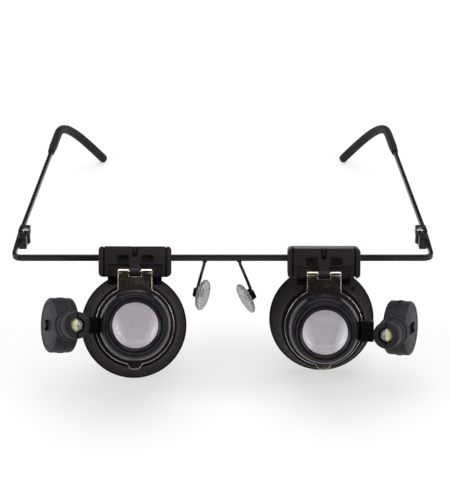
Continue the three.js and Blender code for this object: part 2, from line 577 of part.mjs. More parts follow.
function lampArm(word, side) {
  const tubeLean = ARM_DEPTH / 2 * Math.tan(degrees(POD_TURN));
  const outer = pivotOut(word) - wallAtPivot - tubeLean - GAP;
  const middle = -POD_DROP[word];
  const arm = sideBox(side, 0.6 * barrelAtArm, outer, -PIVOT_FORWARD - ARM_DEPTH / 2,
    -PIVOT_FORWARD + ARM_DEPTH / 2, middle - ARM_HEIGHT / 2, middle + ARM_HEIGHT / 2);
  const saddle = rod('y', barrelAtArm + GAP, -PIVOT_FORWARD - ARM_DEPTH, -PIVOT_FORWARD + ARM_DEPTH,
    [0, 0, 0], LARGE);
  const bore = rod('x', PIVOT_RADIUS + FINE_GAP, 0, side * 2 * outer, [0, -PIVOT_FORWARD, middle]);
  return atLoupe(cut(arm, saddle, bore));
}

function lampPivot(word, side) {
  const start = side * (barrelAtArm + GAP + 0.4);
  const end = side * (pivotOut(word) - wallAtPivot + 1.2);
  return atLoupe(rod('x', PIVOT_RADIUS, start, end, [0, -PIVOT_FORWARD, -POD_DROP[word]]));
}

// Pod pieces are drawn with the disc axis on X (positive X is the outer face) and the lamp towards -Y.
const halfPod = POD_THICKNESS / 2;
const chamberHalf = CELL_THICKNESS + 2 * GAP;

const seam = 0.06;                                    // half the gap between the two shells

function podHalf(sign) {
  const face = sign * halfPod;
  const profile = [[0, sign * seam], [POD_RADIUS, sign * seam], [POD_RADIUS, face - sign * POD_EDGE],
    [POD_RADIUS - POD_EDGE, face], [0, face]].map(([r, y]) => new THREE.Vector2(r, y));
  const disc = new THREE.LatheGeometry(profile, LARGE).rotateZ(-Math.PI / 2);
  const ownSide = sideBox(sign, seam, 20, -40, 40, -20, 20);
  const tube = common(rod('y', TUBE_RADIUS, -TUBE_REACH, -POD_RADIUS + 2, [0, 0, 0], MEDIUM), ownSide);
  const nubs = [-1, 1].map((up) =>
    common(rod('y', NUB_RADIUS, -2, 2, [0, 0, up * (POD_RADIUS - 0.5)], 10), ownSide));
  const chamberRoom = rod('x', CELL_RADIUS + GAP, -chamberHalf, chamberHalf, [0, 0, 0], MEDIUM);
  const ledRoom = rod('y', LED_RADIUS + FINE_GAP, -TUBE_REACH - 1, -POD_RADIUS - 2);
  const wireRoom = rod('y', 1.0, -POD_RADIUS - 3, -CELL_RADIUS + 1, [0, 0, 0], 12);
  return { solid: join(disc, tube, ...nubs), hollows: [chamberRoom, ledRoom, wireRoom] };
}

function podInner(side) {
  const { solid, hollows } = podHalf(-1);
  const pivotRoom = rod('x', PIVOT_RADIUS + FINE_GAP, -wallAtPivot - 2, -LED_RADIUS - 0.5,
    [0, 0, 0], SMALL).applyMatrix4(new THREE.Matrix4().makeRotationZ(degrees(POD_TURN)))
    .translate(0, -(POD_BACK + PIVOT_FORWARD) / Math.cos(degrees(POD_TURN)), 0);
  return mirrored(side, cut(solid, ...hollows, pivotRoom));
}

function podOuter(side) {
  const { solid, hollows } = podHalf(1);
  const capSeat = rod('x', CAP_RADIUS + GAP, 0, 20, [0, 0, 0], MEDIUM);
  return mirrored(side, cut(solid, ...hollows, capSeat));
}

function batteryCap(side) {
  const cap = rod('x', CAP_RADIUS, halfPod - CAP_THICKNESS, halfPod - 0.1, [0, 0, 0], MEDIUM);
  const { length, width, bulge, bulgeFront, depth } = CAP_RECESS;
  const floor = halfPod - 0.1 - depth;
  const slot = box([floor, -length / 2, -width / 2], [halfPod + 1, length / 2, width / 2]);
  const hollow = rod('x', bulge, floor, halfPod + 1, [0, -bulgeFront, 0]);
  return mirrored(side, cut(cap, slot, hollow));
}

// Mirror a pod piece for the left lamp, whose outer face looks towards -X.
function mirrored(side, geometry) {
  if (side > 0) return geometry;
  return join(geometry.clone().applyMatrix4(new THREE.Matrix4().makeScale(-1, 1, 1)));
}

// The outer cell is drawn a little smaller, so that it passes the cap's seat.
function coinCell(side, outerCell) {
  const apart = FINE_GAP / 2;
  const [from, to] = outerCell ? [apart, apart + CELL_THICKNESS] : [-apart - CELL_THICKNESS, -apart];
  return mirrored(side, rod('x', outerCell ? CAP_RADIUS - 0.1 : CELL_RADIUS, from, to, [0, 0, 0], MEDIUM));
}

function contactSpring(side) {
  const [root, tip, reach, thickness] = [3, 1.6, 0.7 * CELL_RADIUS, 0.25];
  const shape = new THREE.Shape();
  shape.moveTo(-root, -reach);
  shape.lineTo(root, -reach);
  shape.lineTo(tip, reach);
  shape.lineTo(-tip, reach);
  const leaf = new THREE.ExtrudeGeometry(shape, { depth: thickness, bevelEnabled: false }).rotateY(Math.PI / 2);
  return mirrored(side, join(leaf.translate(-chamberHalf + 0.05, 0, 0)));
}

function led() {
  const seat = -TUBE_REACH + 3.4;
  const body = [[0, seat], [LED_RADIUS, seat], [LED_RADIUS, seat - 2.0], [0.92 * LED_RADIUS, seat - 2.7],
    [0.65 * LED_RADIUS, seat - 3.3], [0, seat - 3.6]];
  return join(new THREE.LatheGeometry(body.map(([r, y]) => new THREE.Vector2(r, y)), SMALL));
}

// ---------------------------------------------------------------- assembly
const magnifier = new THREE.Group();
const stand = place(magnifier, 'stand');
const frame = place(stand, 'frame');

part(frame, 'brow_bar', browBar(), BLACK_METAL);
for (const [word, side] of SIDES) {
  part(frame, `hinge_screw_${word}`, hingeScrew(side), STEEL);
  const temple = place(frame, `temple_group_${word}`, hingeAxis(side), [0, 0, side * TEMPLE_CONVERGE]);
  part(temple, `temple_${word}`, templeArm(side), BLACK_METAL);
  part(temple, `ear_tip_${word}`, earTip(side), SOFT_BLACK);
  const nose = NOSE[word];
  part(frame, `nose_wire_${word}`, noseWire(side, nose), BLACK_METAL);
  const lean = place(frame, `nose_lean_${word}`, [side * nose.out, nose.back, -nose.drop], [0, -side * nose.lean, 0]);
  const seat = place(lean, `nose_seat_${word}`, [0, 0, 0], [0, 0, side * nose.turn]);
  part(seat, `pad_box_${word}`, padBox(), BLACK_METAL);
  part(seat, `nose_pad_${word}`, nosePad(side), SILICONE);
  part(frame, `slide_bush_${word}`, bush(), SOFT_BLACK).position.x = side * LOUPE_PLACE[word];
}

for (const [word, side] of SIDES) {
  const tilt = place(stand, `tilt_${word}`, [side * LOUPE_PLACE[word], 0, 0], [-TILT[word], 0, 0]);
  const unit = place(tilt, `unit_${word}`, [0, 0, 0], [0, 0, -side * TOE_IN[word]]);
  part(unit, `clip_bracket_${word}`, clipBracket(), BLACK_MATTE);
  part(unit, `clip_jaw_${word}`, clipJaw(), BLACK_MATTE);
  part(unit, `clip_screw_a_${word}`, clipScrew(-1), STEEL);
  part(unit, `clip_screw_b_${word}`, clipScrew(1), STEEL);
  part(unit, `eyecup_${word}`, eyecupWithTongue(), BLACK_GLOSS);
  part(unit, `hinge_pin_${word}`, hingePin(), STEEL);

  part(unit, `rear_lens_${word}`, atLoupe(lens(REAR_LENS_RADIUS, lensSeatFront + GAP, ringFront - 0.4, 1.2)), GLASS);
  part(unit, `rear_lens_ring_${word}`, atLoupe(ring(REAR_LENS_RADIUS, REAR_LENS_RADIUS - 1.2,
    ringFront, ringRear, MEDIUM)), BLACK_MATTE);

  const flap = place(unit, `flap_${word}`);
  part(flap, `hinge_plate_${word}`, hingePlate(), NICKEL);
  part(flap, `barrel_${word}`, frontBarrel(), BLACK_GLOSS);
  part(flap, `barrel_retainer_${word}`, atLoupe(ring(SPIGOT_RADIUS + 1.6, SPIGOT_RADIUS + FINE_GAP,
    retainerFront, CUP_FRONT - GAP, MEDIUM)), STEEL);
  part(flap, `front_lens_${word}`,
    atLoupe(lens(FRONT_LENS_RADIUS, frontLensRear - 2.2, frontLensRear - GAP, 0.9)), GLASS);
  part(flap, `bezel_${word}`,
    atLoupe(ring(BEZEL_RADIUS, APERTURE_RADIUS, BEZEL_FRONT, BARREL_FRONT - 0.1, MEDIUM)), BLACK_GLOSS);
  part(flap, `lamp_arm_${word}`, lampArm(word, side), BLACK_MATTE);
  part(flap, `lamp_pivot_${word}`, lampPivot(word, side), STEEL);

  const pod = place(flap, `pod_${word}`, [side * POD_OFFSET[word], POD_BACK, -LOUPE_DROP - POD_DROP[word]],
    [0, 0, -side * POD_TURN]);
  part(pod, `pod_inner_${word}`, podInner(side), BLACK_MATTE);
  part(pod, `pod_outer_${word}`, podOuter(side), BLACK_MATTE);
  part(pod, `battery_cap_${word}`, batteryCap(side), BLACK_MATTE);
  part(pod, `coin_cell_inner_${word}`, coinCell(side, false), STEEL);
  part(pod, `coin_cell_outer_${word}`, coinCell(side, true), STEEL);
  part(pod, `contact_spring_${word}`, contactSpring(side), NICKEL);
  part(pod, `led_${word}`, led(), PHOSPHOR);
}

// Slope the frame so that the ear tips and the lower eyecup touch the same table.
function lowestPoint(object) {
  magnifier.updateMatrixWorld(true);
  return new THREE.Box3().setFromObject(object, true).min.z;
}

const cupBottom = Math.min(...SIDES.map(([word]) => lowestPoint(stand.getObjectByName(`unit_${word}`))));
const tip = new THREE.Vector3(...earEnd(1)).applyAxisAngle(new THREE.Vector3(0, 0, 1), degrees(TEMPLE_CONVERGE));
const [tipY, tipZ] = [tip.y + HINGE_BACK, tip.z];
const tipRadius = SLEEVE_WIDTH / 2;
const slope = Math.atan2(tipZ, tipY) - Math.asin((cupBottom + tipRadius) / Math.hypot(tipY, tipZ));
frame.rotation.x = -slope;

magnifier.updateMatrixWorld(true);
const bounds = new THREE.Box3().setFromObject(stand, true);
const middle = bounds.getCenter(new THREE.Vector3());
stand.position.set(-middle.x, -middle.y, -bounds.min.z);

export default magnifier;
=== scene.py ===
import json
import math

import bmesh
import bpy
from mathutils import Matrix, Vector

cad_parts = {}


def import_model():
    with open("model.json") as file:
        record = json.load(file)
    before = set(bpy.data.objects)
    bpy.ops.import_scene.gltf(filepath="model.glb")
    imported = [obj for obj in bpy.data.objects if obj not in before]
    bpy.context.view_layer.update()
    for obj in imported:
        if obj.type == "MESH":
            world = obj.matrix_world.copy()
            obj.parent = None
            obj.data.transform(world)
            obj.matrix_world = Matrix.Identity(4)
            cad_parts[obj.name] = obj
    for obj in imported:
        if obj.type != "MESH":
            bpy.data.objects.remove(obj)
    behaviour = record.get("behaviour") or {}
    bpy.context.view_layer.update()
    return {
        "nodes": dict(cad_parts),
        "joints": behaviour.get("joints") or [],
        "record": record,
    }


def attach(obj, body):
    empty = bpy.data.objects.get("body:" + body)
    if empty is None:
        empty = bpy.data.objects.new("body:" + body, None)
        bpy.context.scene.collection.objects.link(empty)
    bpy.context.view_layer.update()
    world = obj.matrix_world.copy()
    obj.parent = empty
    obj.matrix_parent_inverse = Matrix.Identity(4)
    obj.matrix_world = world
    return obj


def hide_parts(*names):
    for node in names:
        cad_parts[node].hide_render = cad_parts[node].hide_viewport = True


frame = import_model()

# Pieces are drawn in millimetres in a local place (a loupe, a pod, a temple) that is read from the frame,
# then shrunk to metres. Local Y runs back along the loupe's axis or the temple, local Z is up.

MM = 0.001
SIDES = (("left", -1), ("right", 1))
RECORD = frame["record"]
JOINTS = {joint["name"]: joint for joint in frame["joints"]}
MOUNTS = {mount["name"]: mount for mount in RECORD["mounts"]}


# ---------------------------------------------------------------- places, read from the frame
def place(origin, along_x, along_z):
    """A right-handed place from its origin, X direction and Z direction, in the row frame."""
    x = Vector(along_x).normalized()
    z = Vector(along_z).normalized()
    y = z.cross(x).normalized()
    turn = Matrix((x, y, z)).transposed().to_4x4()
    return Matrix.Translation(Vector(origin)) @ turn


def span(node, where):
    """Lowest and highest corner of a CAD node, measured along a place's own axes, in millimetres."""
    back = where.inverted()
    points = [back @ vertex.co for vertex in frame["nodes"][node].data.vertices]
    low = Vector([min(point[i] for point in points) for i in range(3)]) / MM
    high = Vector([max(point[i] for point in points) for i in range(3)]) / MM
    return low, high


def bar_place():
    tilt = JOINTS["left_loupe_tilt"]["pos_m"]
    return place((0, tilt[1], tilt[2]), (1, 0, 0), JOINTS["right_temple_fold"]["axis"])


def unit_place(word):
    across = -Vector(JOINTS[f"{word}_front_flip"]["axis"])
    return place(JOINTS[f"{word}_loupe_tilt"]["pos_m"], across, MOUNTS[f"clip_top_{word}"]["axis"])


def pod_place(word, side):
    cap = JOINTS[f"{word}_battery_cap_turn"]
    return place(cap["pos_m"], side * Vector(cap["axis"]), MOUNTS[f"clip_top_{word}"]["axis"])


def nose_place(word):
    rock = JOINTS[f"{word}_pad_rock"]
    along_y = Vector(rock["axis"])
    bar_y = bar_place().to_3x3() @ Vector((0, 1, 0))
    along_z = bar_y.cross(along_y)
    if along_z.z < 0:
        along_z.negate()
    return place(rock["pos_m"], along_y.cross(along_z), along_z)


def temple_place(word, side):
    """The temple's hinge axis, turned to the angle at which the temple runs back."""
    fold = JOINTS[f"{word}_temple_fold"]
    straight = place(fold["pos_m"], (1, 0, 0), side * Vector(fold["axis"]))
    back = straight.inverted()
    points = [(back @ vertex.co) / MM for vertex in frame["nodes"][f"temple_{word}"].data.vertices]
    rear = max(point.y for point in points)
    near = max((p for p in points if abs(p.y) < 1), key=lambda p: side * p.x)
    far = max((p for p in points if p.y > rear - 1), key=lambda p: side * p.x)
    turn = math.atan2(near.x - far.x, far.y - near.y)
    return straight @ Matrix.Rotation(turn, 4, "Z")


BAR = bar_place()

# ---------------------------------------------------------------- small sizes that only the looks need (mm)
FINE = 96             # steps round a large turned piece
ROUND = 40            # steps round a small one
EDGE = 0.22           # rounded edge of a moulded part

BAR_HEIGHT = 2.2
BAR_CORNER = 2.85     # radius of the bend at each end of the bar
HINGE_BORE = 0.7      # radius
HINGE_HALF = 0.7      # half the width of a hinge leaf's neck
KNUCKLE_LOW = 0.9     # the frame's knuckles start this far above and below the middle
SCREW_SLOT = 0.32

TEMPLE_INSET = 2.4    # the temple's middle outward of its hinge axis
TEMPLE_WIDTH = 1.4
TEMPLE_HEIGHT = 2.0
SLEEVE_WIDTH = 3.2
SLEEVE_HEIGHT = 3.6
EAR_BACK = 16         # how far the ear tip's end lies behind the bend
BEND_EASE = 12        # where the sleeve starts to bend, ahead of the bend itself

NOSE_WIRE = 0.55      # radius
PAD_BOX_MORE = 0.45   # how much larger the pad box is than the CAD's

BAR_BORE = 2.55       # the clips sit askew on the bar, so their bores are wide
CLIP_SCREW_X = 7.3
CLIP_SCREW_Z = -4.5
JAW_FRONT = -5.2
JAW_LEDGE = -4.4      # front of the jaw's lower half
JAW_STEP = -2.4       # height at which the lower half begins
LUG_HALF = 1.75       # half the width of the jaw's hinge lug

CUP_FACE = 14.4       # radius of the eyecup's front face
CUP_WALL = 1.2
TONGUE_HALF = 9.2     # half the width of the tongue that goes up into the clip
RIB_ANGLE = math.radians(43)     # the cup's rib, from straight up towards the outside

PLATE_HALF = 0.35     # half the thickness of the nickel hinge plate
PLATE_EDGE = 0.14
PLATE_HOLE = 11.1     # radius of its hole
TAB_HALF = 5.75       # half the width of its tab
LIP_HALF = 2.5        # half the width of its lifting lip
NOTCH_HALF = 2.05     # half the width of the notch between its two rolls

SPIGOT = 10.9         # radius of the barrel where it goes through the plate
APERTURE = 7.5        # clear radius of the front lens
RING_SHOWS = 0.28     # how far the nickel ring stands out round the barrel
KNURL_TEETH = 112     # fine teeth round the barrel's flange
KNURL_DEPTH = 0.22

POD_HALF = 3.9        # half the thickness of the pod
POD_RADIUS = 9.3
TUBE_RADIUS = 4.5
CAP_SEAT = 7.52       # radius of the cap's seat in the outer shell
CAP_RADIUS = 7.42


# ---------------------------------------------------------------- mesh tools
def mesh_object(name, points, faces):
    mesh = bpy.data.meshes.new(name)
    mesh.from_pydata([tuple(point) for point in points], [], faces)
    work = bmesh.new()
    work.from_mesh(mesh)
    bmesh.ops.remove_doubles(work, verts=work.verts, dist=1e-4)
    bmesh.ops.dissolve_degenerate(work, edges=work.edges, dist=1e-5)
    loose = [vertex for vertex in work.verts if not vertex.link_faces]
    bmesh.ops.delete(work, geom=loose, context="VERTS")
    bmesh.ops.recalc_face_normals(work, faces=work.faces)
    work.to_mesh(mesh)
    work.free()
    obj = bpy.data.objects.new(name, mesh)
    bpy.context.scene.collection.objects.link(obj)
    return obj


def bake(obj):
    """The object's modifiers become its mesh."""
    graph = bpy.context.evaluated_depsgraph_get()
    mesh = bpy.data.meshes.new_from_object(obj.evaluated_get(graph))
    old = obj.data
    obj.modifiers.clear()
    obj.data = mesh
    bpy.data.meshes.remove(old)
    return obj


def combine(obj, operation, others):
    for other in others:
        modifier = obj.modifiers.new("combine", "BOOLEAN")
        modifier.object = other
        modifier.operation = operation
        modifier.solver = "EXACT"
        bake(obj)
        bpy.data.objects.remove(other)
    return obj


def join(obj, *others):
    return combine(obj, "UNION", others)


def cut(obj, *others):
    return combine(obj, "DIFFERENCE", others)


def soften(obj, width=EDGE, steps=3, angle=38):
    """Round the edges sharper than the angle."""
    modifier = obj.modifiers.new("soften", "BEVEL")
    modifier.width = width
    modifier.segments = steps
    modifier.limit_method = "ANGLE"
    modifier.angle_limit = math.radians(angle)
    modifier.miter_outer = "MITER_ARC"
    return bake(obj)


def arc(centre, radius, start, end, steps):
    """Points on an arc from start to end, in degrees."""
    angles = [math.radians(start + (end - start) * i / steps) for i in range(steps + 1)]
    return [(centre[0] + radius * math.cos(a), centre[1] + radius * math.sin(a)) for a in angles]


def rounded(corners, steps=5):
    """A closed outline from corners (x, y) or (x, y, radius): a radius turns its corner into an arc."""
    outline = []
    for i, corner in enumerate(corners):
        here = Vector(corner[:2])
        radius = corner[2] if len(corner) > 2 else 0
        before = Vector(corners[i - 1][:2]) - here
        after = Vector(corners[(i + 1) % len(corners)][:2]) - here
        if radius <= 0:
            outline.append(tuple(here))
            continue
        half = before.angle(after) / 2
        reach = min(radius / math.tan(half), 0.49 * before.length, 0.49 * after.length)
        radius = reach * math.tan(half)
        centre = here + (before.normalized() + after.normalized()).normalized() * radius / math.sin(half)
        start = here + before.normalized() * reach - centre
        end = here + after.normalized() * reach - centre
        turn = math.atan2(start.x * end.y - start.y * end.x, start.dot(end))
        for k in range(steps + 1):
            outline.append(tuple(centre + Matrix.Rotation(turn * k / steps, 2) @ start))
    return outline


def rings_object(name, rings, closed_along=False):
    """Skin over rings that have the same number of points; open ends are closed with one face each."""
    count = len(rings[0])
    points = [point for ring in rings for point in ring]
    faces = []
    for i in range(len(rings) if closed_along else len(rings) - 1):
        here = i * count
        there = (i + 1) % len(rings) * count
        for k in range(count):
            faces.append((here + k, here + (k + 1) % count, there + (k + 1) % count, there + k))
    if not closed_along:
        faces.append(tuple(range(count - 1, -1, -1)))
        faces.append(tuple(range(len(points) - count, len(points))))
    return mesh_object(name, points, faces)


AXES = {
    "x": lambda along, a, b: (along, a, b),
    "y": lambda along, a, b: (a, along, b),
    "z": lambda along, a, b: (a, b, along),
}


def lathe(name, outline, axis="y", at=(0, 0, 0), steps=FINE):
    """A closed outline of (radius, along) turned round an axis through the point `at`."""
    count = len(outline)
    points = []
    for i in range(steps):
        turn = 2 * math.pi * i / steps
        for radius, along in outline:
            point = AXES[axis](along, radius * math.cos(turn), radius * math.sin(turn))
            points.append(Vector(point) + Vector(at))
    faces = []
    for k in range(count):
        on_axis = [abs(outline[j % count][0]) < 1e-6 for j in (k, k + 1)]
        if all(on_axis):
            continue
        for i in range(steps):
            here, there = i * count, (i + 1) % steps * count
            if on_axis[0]:
                faces.append((k, here + (k + 1) % count, there + (k + 1) % count))
            elif on_axis[1]:
                faces.append((here + k, (k + 1) % count, there + k))
            else:
                faces.append((here + k, here + (k + 1) % count, there + (k + 1) % count, there + k))
    return mesh_object(name, points, faces)


def rod(name, axis, radius, start, end, at=(0, 0, 0), edge=0.1, steps=ROUND):
    outline = rounded([(0, start), (radius, start, edge), (radius, end, edge), (0, end)], 3)
    return lathe(name, outline, axis, at, steps)


def block(name, low, high, edge=EDGE, steps=3):
    """A box with rounded edges."""
    work = bmesh.new()
    bmesh.ops.create_cube(work, size=1)
    size = Vector(high) - Vector(low)
    bmesh.ops.scale(work, vec=size, verts=work.verts)
    bmesh.ops.translate(work, vec=(Vector(high) + Vector(low)) / 2, verts=work.verts)
    if edge > 0:
        bmesh.ops.bevel(work, geom=work.edges, offset=edge, segments=steps, profile=0.5, affect="EDGES")
    mesh = bpy.data.meshes.new(name)
    work.to_mesh(mesh)
    work.free()
    obj = bpy.data.objects.new(name, mesh)
    bpy.context.scene.collection.objects.link(obj)
    return obj


def side_block(name, side, inside, outside, y0, y1, z0, z1, edge=EDGE):
    xs = sorted((side * inside, side * outside))
    return block(name, (xs[0], min(y0, y1), min(z0, z1)), (xs[1], max(y0, y1), max(z0, z1)), edge)


def prism(name, outline, start, end):
    """An outline in X-Z pushed along Y."""
    return rings_object(name, [[(x, y, z) for x, z in outline] for y in (start, end)])


def rectangle(width, height, radius, x=0.0, z=0.0, steps=5):
    return rounded([(x + sx * width / 2, z + sz * height / 2, radius)
                    for sx, sz in ((-1, -1), (1, -1), (1, 1), (-1, 1))], steps)


def ellipse(half_width, half_height, steps):
    angles = [2 * math.pi * k / steps for k in range(steps)]
    return [(half_width * math.cos(a), half_height * math.sin(a)) for a in angles]


def sweep(name, path, sections, up=(0, 0, 1)):
    """Sections of (across, up) points carried along a path; one section for all, or one for each point."""
    rings = []
    path = [Vector(point) for point in path]
    for i, point in enumerate(path):
        tangent = (path[min(i + 1, len(path) - 1)] - path[max(i - 1, 0)]).normalized()
        across = tangent.cross(Vector(up)).normalized()
        upward = across.cross(tangent)
        section = sections[i] if isinstance(sections[0][0], (list, tuple)) else sections
        rings.append([point + across * a + upward * b for a, b in section])
    return rings_object(name, rings)


def bezier(a, b, c, d, steps):
    a, b, c, d = (Vector(point) for point in (a, b, c, d))
    shares = [i / steps for i in range(steps + 1)]
    return [a * (1 - t) ** 3 + b * 3 * t * (1 - t) ** 2 + c * 3 * t * t * (1 - t) + d * t ** 3
            for t in shares]


def smooth_curve(points, steps):
    """A Catmull-Rom curve through the points."""
    points = [Vector(point) for point in points]
    ends = [2 * points[0] - points[1], *points, 2 * points[-1] - points[-2]]
    curve = []
    for a, b, c, d in zip(ends, ends[1:], ends[2:], ends[3:]):
        for i in range(steps):
            t = i / steps
            curve.append(0.5 * (2 * b + (c - a) * t + (2 * a - 5 * b + 4 * c - d) * t * t
                                + (3 * b - a - 3 * c + d) * t ** 3))
    return [*curve, points[-1]]


def mirrored(obj, side):
    """Turn a piece drawn for the right side into the left one."""
    if side < 0:
        obj.data.transform(Matrix.Scale(-1, 4, (1, 0, 0)))
        obj.data.flip_normals()
    return obj


def settle(obj, where, body, slot, material, *nodes, angle=32):
    """Shrink a finished piece to metres, put it in its place, and hand it to its body and nodes."""
    obj.data.transform(Matrix.Scale(MM, 4))
    obj.matrix_world = where
    obj.data.shade_smooth()
    obj.data.set_sharp_from_angle(angle=math.radians(angle))
    obj.data.materials.clear()
    obj.data.materials.append(material)
    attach(obj, body)
    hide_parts(*nodes)
    return obj


# ---------------------------------------------------------------- materials
class Nodes:
    """The node tree of a material, or of a new one with the given name, with short calls for its nodes."""

    def __init__(self, material):
        if isinstance(material, str):
            material = bpy.data.materials.new(material)
        self.material = material
        self.material.use_nodes = True
        self.tree = self.material.node_tree
        self.shader = self.tree.nodes["Principled BSDF"]
        self.place = self.tree.nodes.new("ShaderNodeTexCoord").outputs["Object"]

    def link(self, source, target):
        self.tree.links.new(source, target)

    def noise(self, size_mm, detail=4.0, rough=0.55, stretch=(1, 1, 1)):
        mapping = self.tree.nodes.new("ShaderNodeMapping")
        mapping.inputs["Scale"].default_value = stretch
        self.link(self.place, mapping.inputs["Vector"])
        texture = self.tree.nodes.new("ShaderNodeTexNoise")
        texture.inputs["Scale"].default_value = 1 / (size_mm * MM)
        texture.inputs["Detail"].default_value = detail
        texture.inputs["Roughness"].default_value = rough
        self.link(mapping.outputs["Vector"], texture.inputs["Vector"])
        return texture.outputs["Fac"]

    def scratches(self, size_mm, width):
        """Thin wandering lines: the narrow bands where a stretched noise crosses its middle value."""
        field = self.noise(size_mm, 2.0, 0.5, (1, 0.12, 1))
        line = self.tree.nodes.new("ShaderNodeMath")
        line.operation = "COMPARE"
        self.link(field, line.inputs[0])
        line.inputs[1].default_value = 0.5
        line.inputs[2].default_value = width
        return line.outputs[0]

    def spread(self, value, low, high, to_low=0.0, to_high=1.0):
        """The value, stretched from one range to another and held inside it."""
        node = self.tree.nodes.new("ShaderNodeMapRange")
        self.link(value, node.inputs["Value"])
        numbers = {"From Min": low, "From Max": high, "To Min": to_low, "To Max": to_high}
        for socket, number in numbers.items():
            node.inputs[socket].default_value = number
        return node.outputs["Result"]

    def colours(self, factor, first, second):
        mix = self.tree.nodes.new("ShaderNodeMix")
        mix.data_type = "RGBA"
        self.link(factor, mix.inputs["Factor"])
        for socket, colour in ((mix.inputs[6], first), (mix.inputs[7], second)):
            if isinstance(colour, tuple):
                socket.default_value = (*colour, 1)
            else:
                self.link(colour, socket)
        return mix.outputs[2]

    def add(self, first, second, share):
        """The first value plus a share of the second."""
        node = self.tree.nodes.new("ShaderNodeMath")
        node.operation = "MULTIPLY_ADD"
        self.link(second, node.inputs[0])
        node.inputs[1].default_value = share
        self.link(first, node.inputs[2])
        return node.outputs[0]

    def bump(self, height, depth_mm, strength=1.0, normal=None):
        node = self.tree.nodes.new("ShaderNodeBump")
        node.inputs["Strength"].default_value = strength
        node.inputs["Distance"].default_value = depth_mm * MM
        self.link(height, node.inputs["Height"])
        if normal is not None:
            self.link(normal, node.inputs["Normal"])
        return node.outputs["Normal"]

    def set(self, **values):
        for name, value in values.items():
            self.shader.inputs[name.replace("_", " ")].default_value = value


def moulded(name, dark, light, rough, grain_mm, grain_depth, wave_depth, dust, index):
    """Moulded plastic or lacquer: uneven tone, a fine grain, a slow waviness, faint scuffs and dust.

    The index of refraction is set for the tone of the gloss, and is lower than a real plastic's.
    """
    nodes = Nodes(name)
    cloud = nodes.noise(7.0, 5.0, 0.6)
    colour = nodes.colours(nodes.spread(cloud, 0.35, 0.7), dark, light)
    specks = nodes.spread(nodes.noise(0.35, 2.0, 0.4), 0.72, 0.80)
    colour = nodes.colours(nodes.spread(specks, 0, 1, 0, dust), colour, (0.30, 0.28, 0.27))
    nodes.link(colour, nodes.shader.inputs["Base Color"])
    patch = nodes.spread(nodes.noise(2.5, 6.0, 0.65), 0.3, 0.75, rough[0], rough[1])
    nodes.link(nodes.add(patch, nodes.scratches(5.0, 0.004), 0.12), nodes.shader.inputs["Roughness"])
    normal = nodes.bump(nodes.noise(grain_mm, 3.0, 0.6), grain_depth)
    if wave_depth > 0:
        normal = nodes.bump(nodes.noise(4.5, 1.0, 0.3), wave_depth, 1.0, normal)
    nodes.link(normal, nodes.shader.inputs["Normal"])
    nodes.set(IOR=index)
    return nodes.material


def metal(name, dark, light, rough, dent_mm, dent_depth, brush=0.0, smooth=False):
    """Bare metal: tone patches, small dents that break up reflections, and fine brush marks."""
    nodes = Nodes(name)
    nodes.link(nodes.colours(nodes.spread(nodes.noise(3.0, 4.0, 0.6), 0.3, 0.7), dark, light),
               nodes.shader.inputs["Base Color"])
    patch = nodes.spread(nodes.noise(1.6, 5.0, 0.6), 0.3, 0.75, rough[0], rough[1])
    nodes.link(nodes.add(patch, nodes.scratches(3.0, 0.006), 0.02 if smooth else 0.15),
               nodes.shader.inputs["Roughness"])
    normal = nodes.bump(nodes.noise(dent_mm, 0.5 if smooth else 3.0, 0.5), dent_depth)
    if brush > 0:
        normal = nodes.bump(nodes.noise(0.4, 2.0, 0.5, (1, 1, 14)), brush, 1.0, normal)
    nodes.link(normal, nodes.shader.inputs["Normal"])
    nodes.set(Metallic=1.0)
    return nodes.material


def clear(name, tint, rough, index, haze_mm, haze_depth, weight=1.0):
    """Glass or clear silicone, with slight haze and surface ripple."""
    nodes = Nodes(name)
    darker = tuple(0.96 * channel for channel in tint)
    nodes.link(nodes.colours(nodes.spread(nodes.noise(5.0, 3.0), 0.3, 0.7), tint, darker),
               nodes.shader.inputs["Base Color"])
    nodes.link(nodes.spread(nodes.noise(1.5, 5.0, 0.65), 0.35, 0.8, rough[0], rough[1]),
               nodes.shader.inputs["Roughness"])
    nodes.link(nodes.bump(nodes.noise(haze_mm, 2.0), haze_depth), nodes.shader.inputs["Normal"])
    nodes.set(IOR=index, Transmission_Weight=weight)
    return nodes.material


def lens_glass():
    """Glass with a grey tint that is painted shade, darkening the view through the loupe, and a paler tint
    painted low on both sides as a painted highlight, where a lens would catch the light.
    """
    # the grey tint is painted shade for the dimmer view through the loupe; the glass itself is clear
    material = clear("lens_glass", (0.68, 0.65, 0.675), (0.0, 0.02), 1.50, 6.0, 0.0005)
    nodes = Nodes(material)
    split = nodes.tree.nodes.new("ShaderNodeSeparateXYZ")
    nodes.link(nodes.place, split.inputs[0])
    aside = nodes.tree.nodes.new("ShaderNodeMath")
    aside.operation = "ABSOLUTE"
    nodes.link(split.outputs["X"], aside.inputs[0])
    # painted highlight: the tint turns paler low down and out towards both sides of the lens
    low = nodes.spread(split.outputs["Z"], -19 * MM, -27 * MM)
    edge = nodes.spread(nodes.add(aside.outputs[0], low, 2.5 * MM), 5.0 * MM, 8.0 * MM)
    tint = nodes.shader.inputs["Base Color"].links[0].from_socket
    nodes.link(nodes.colours(edge, tint, (0.90, 0.89, 0.91)), nodes.shader.inputs["Base Color"])
    return material


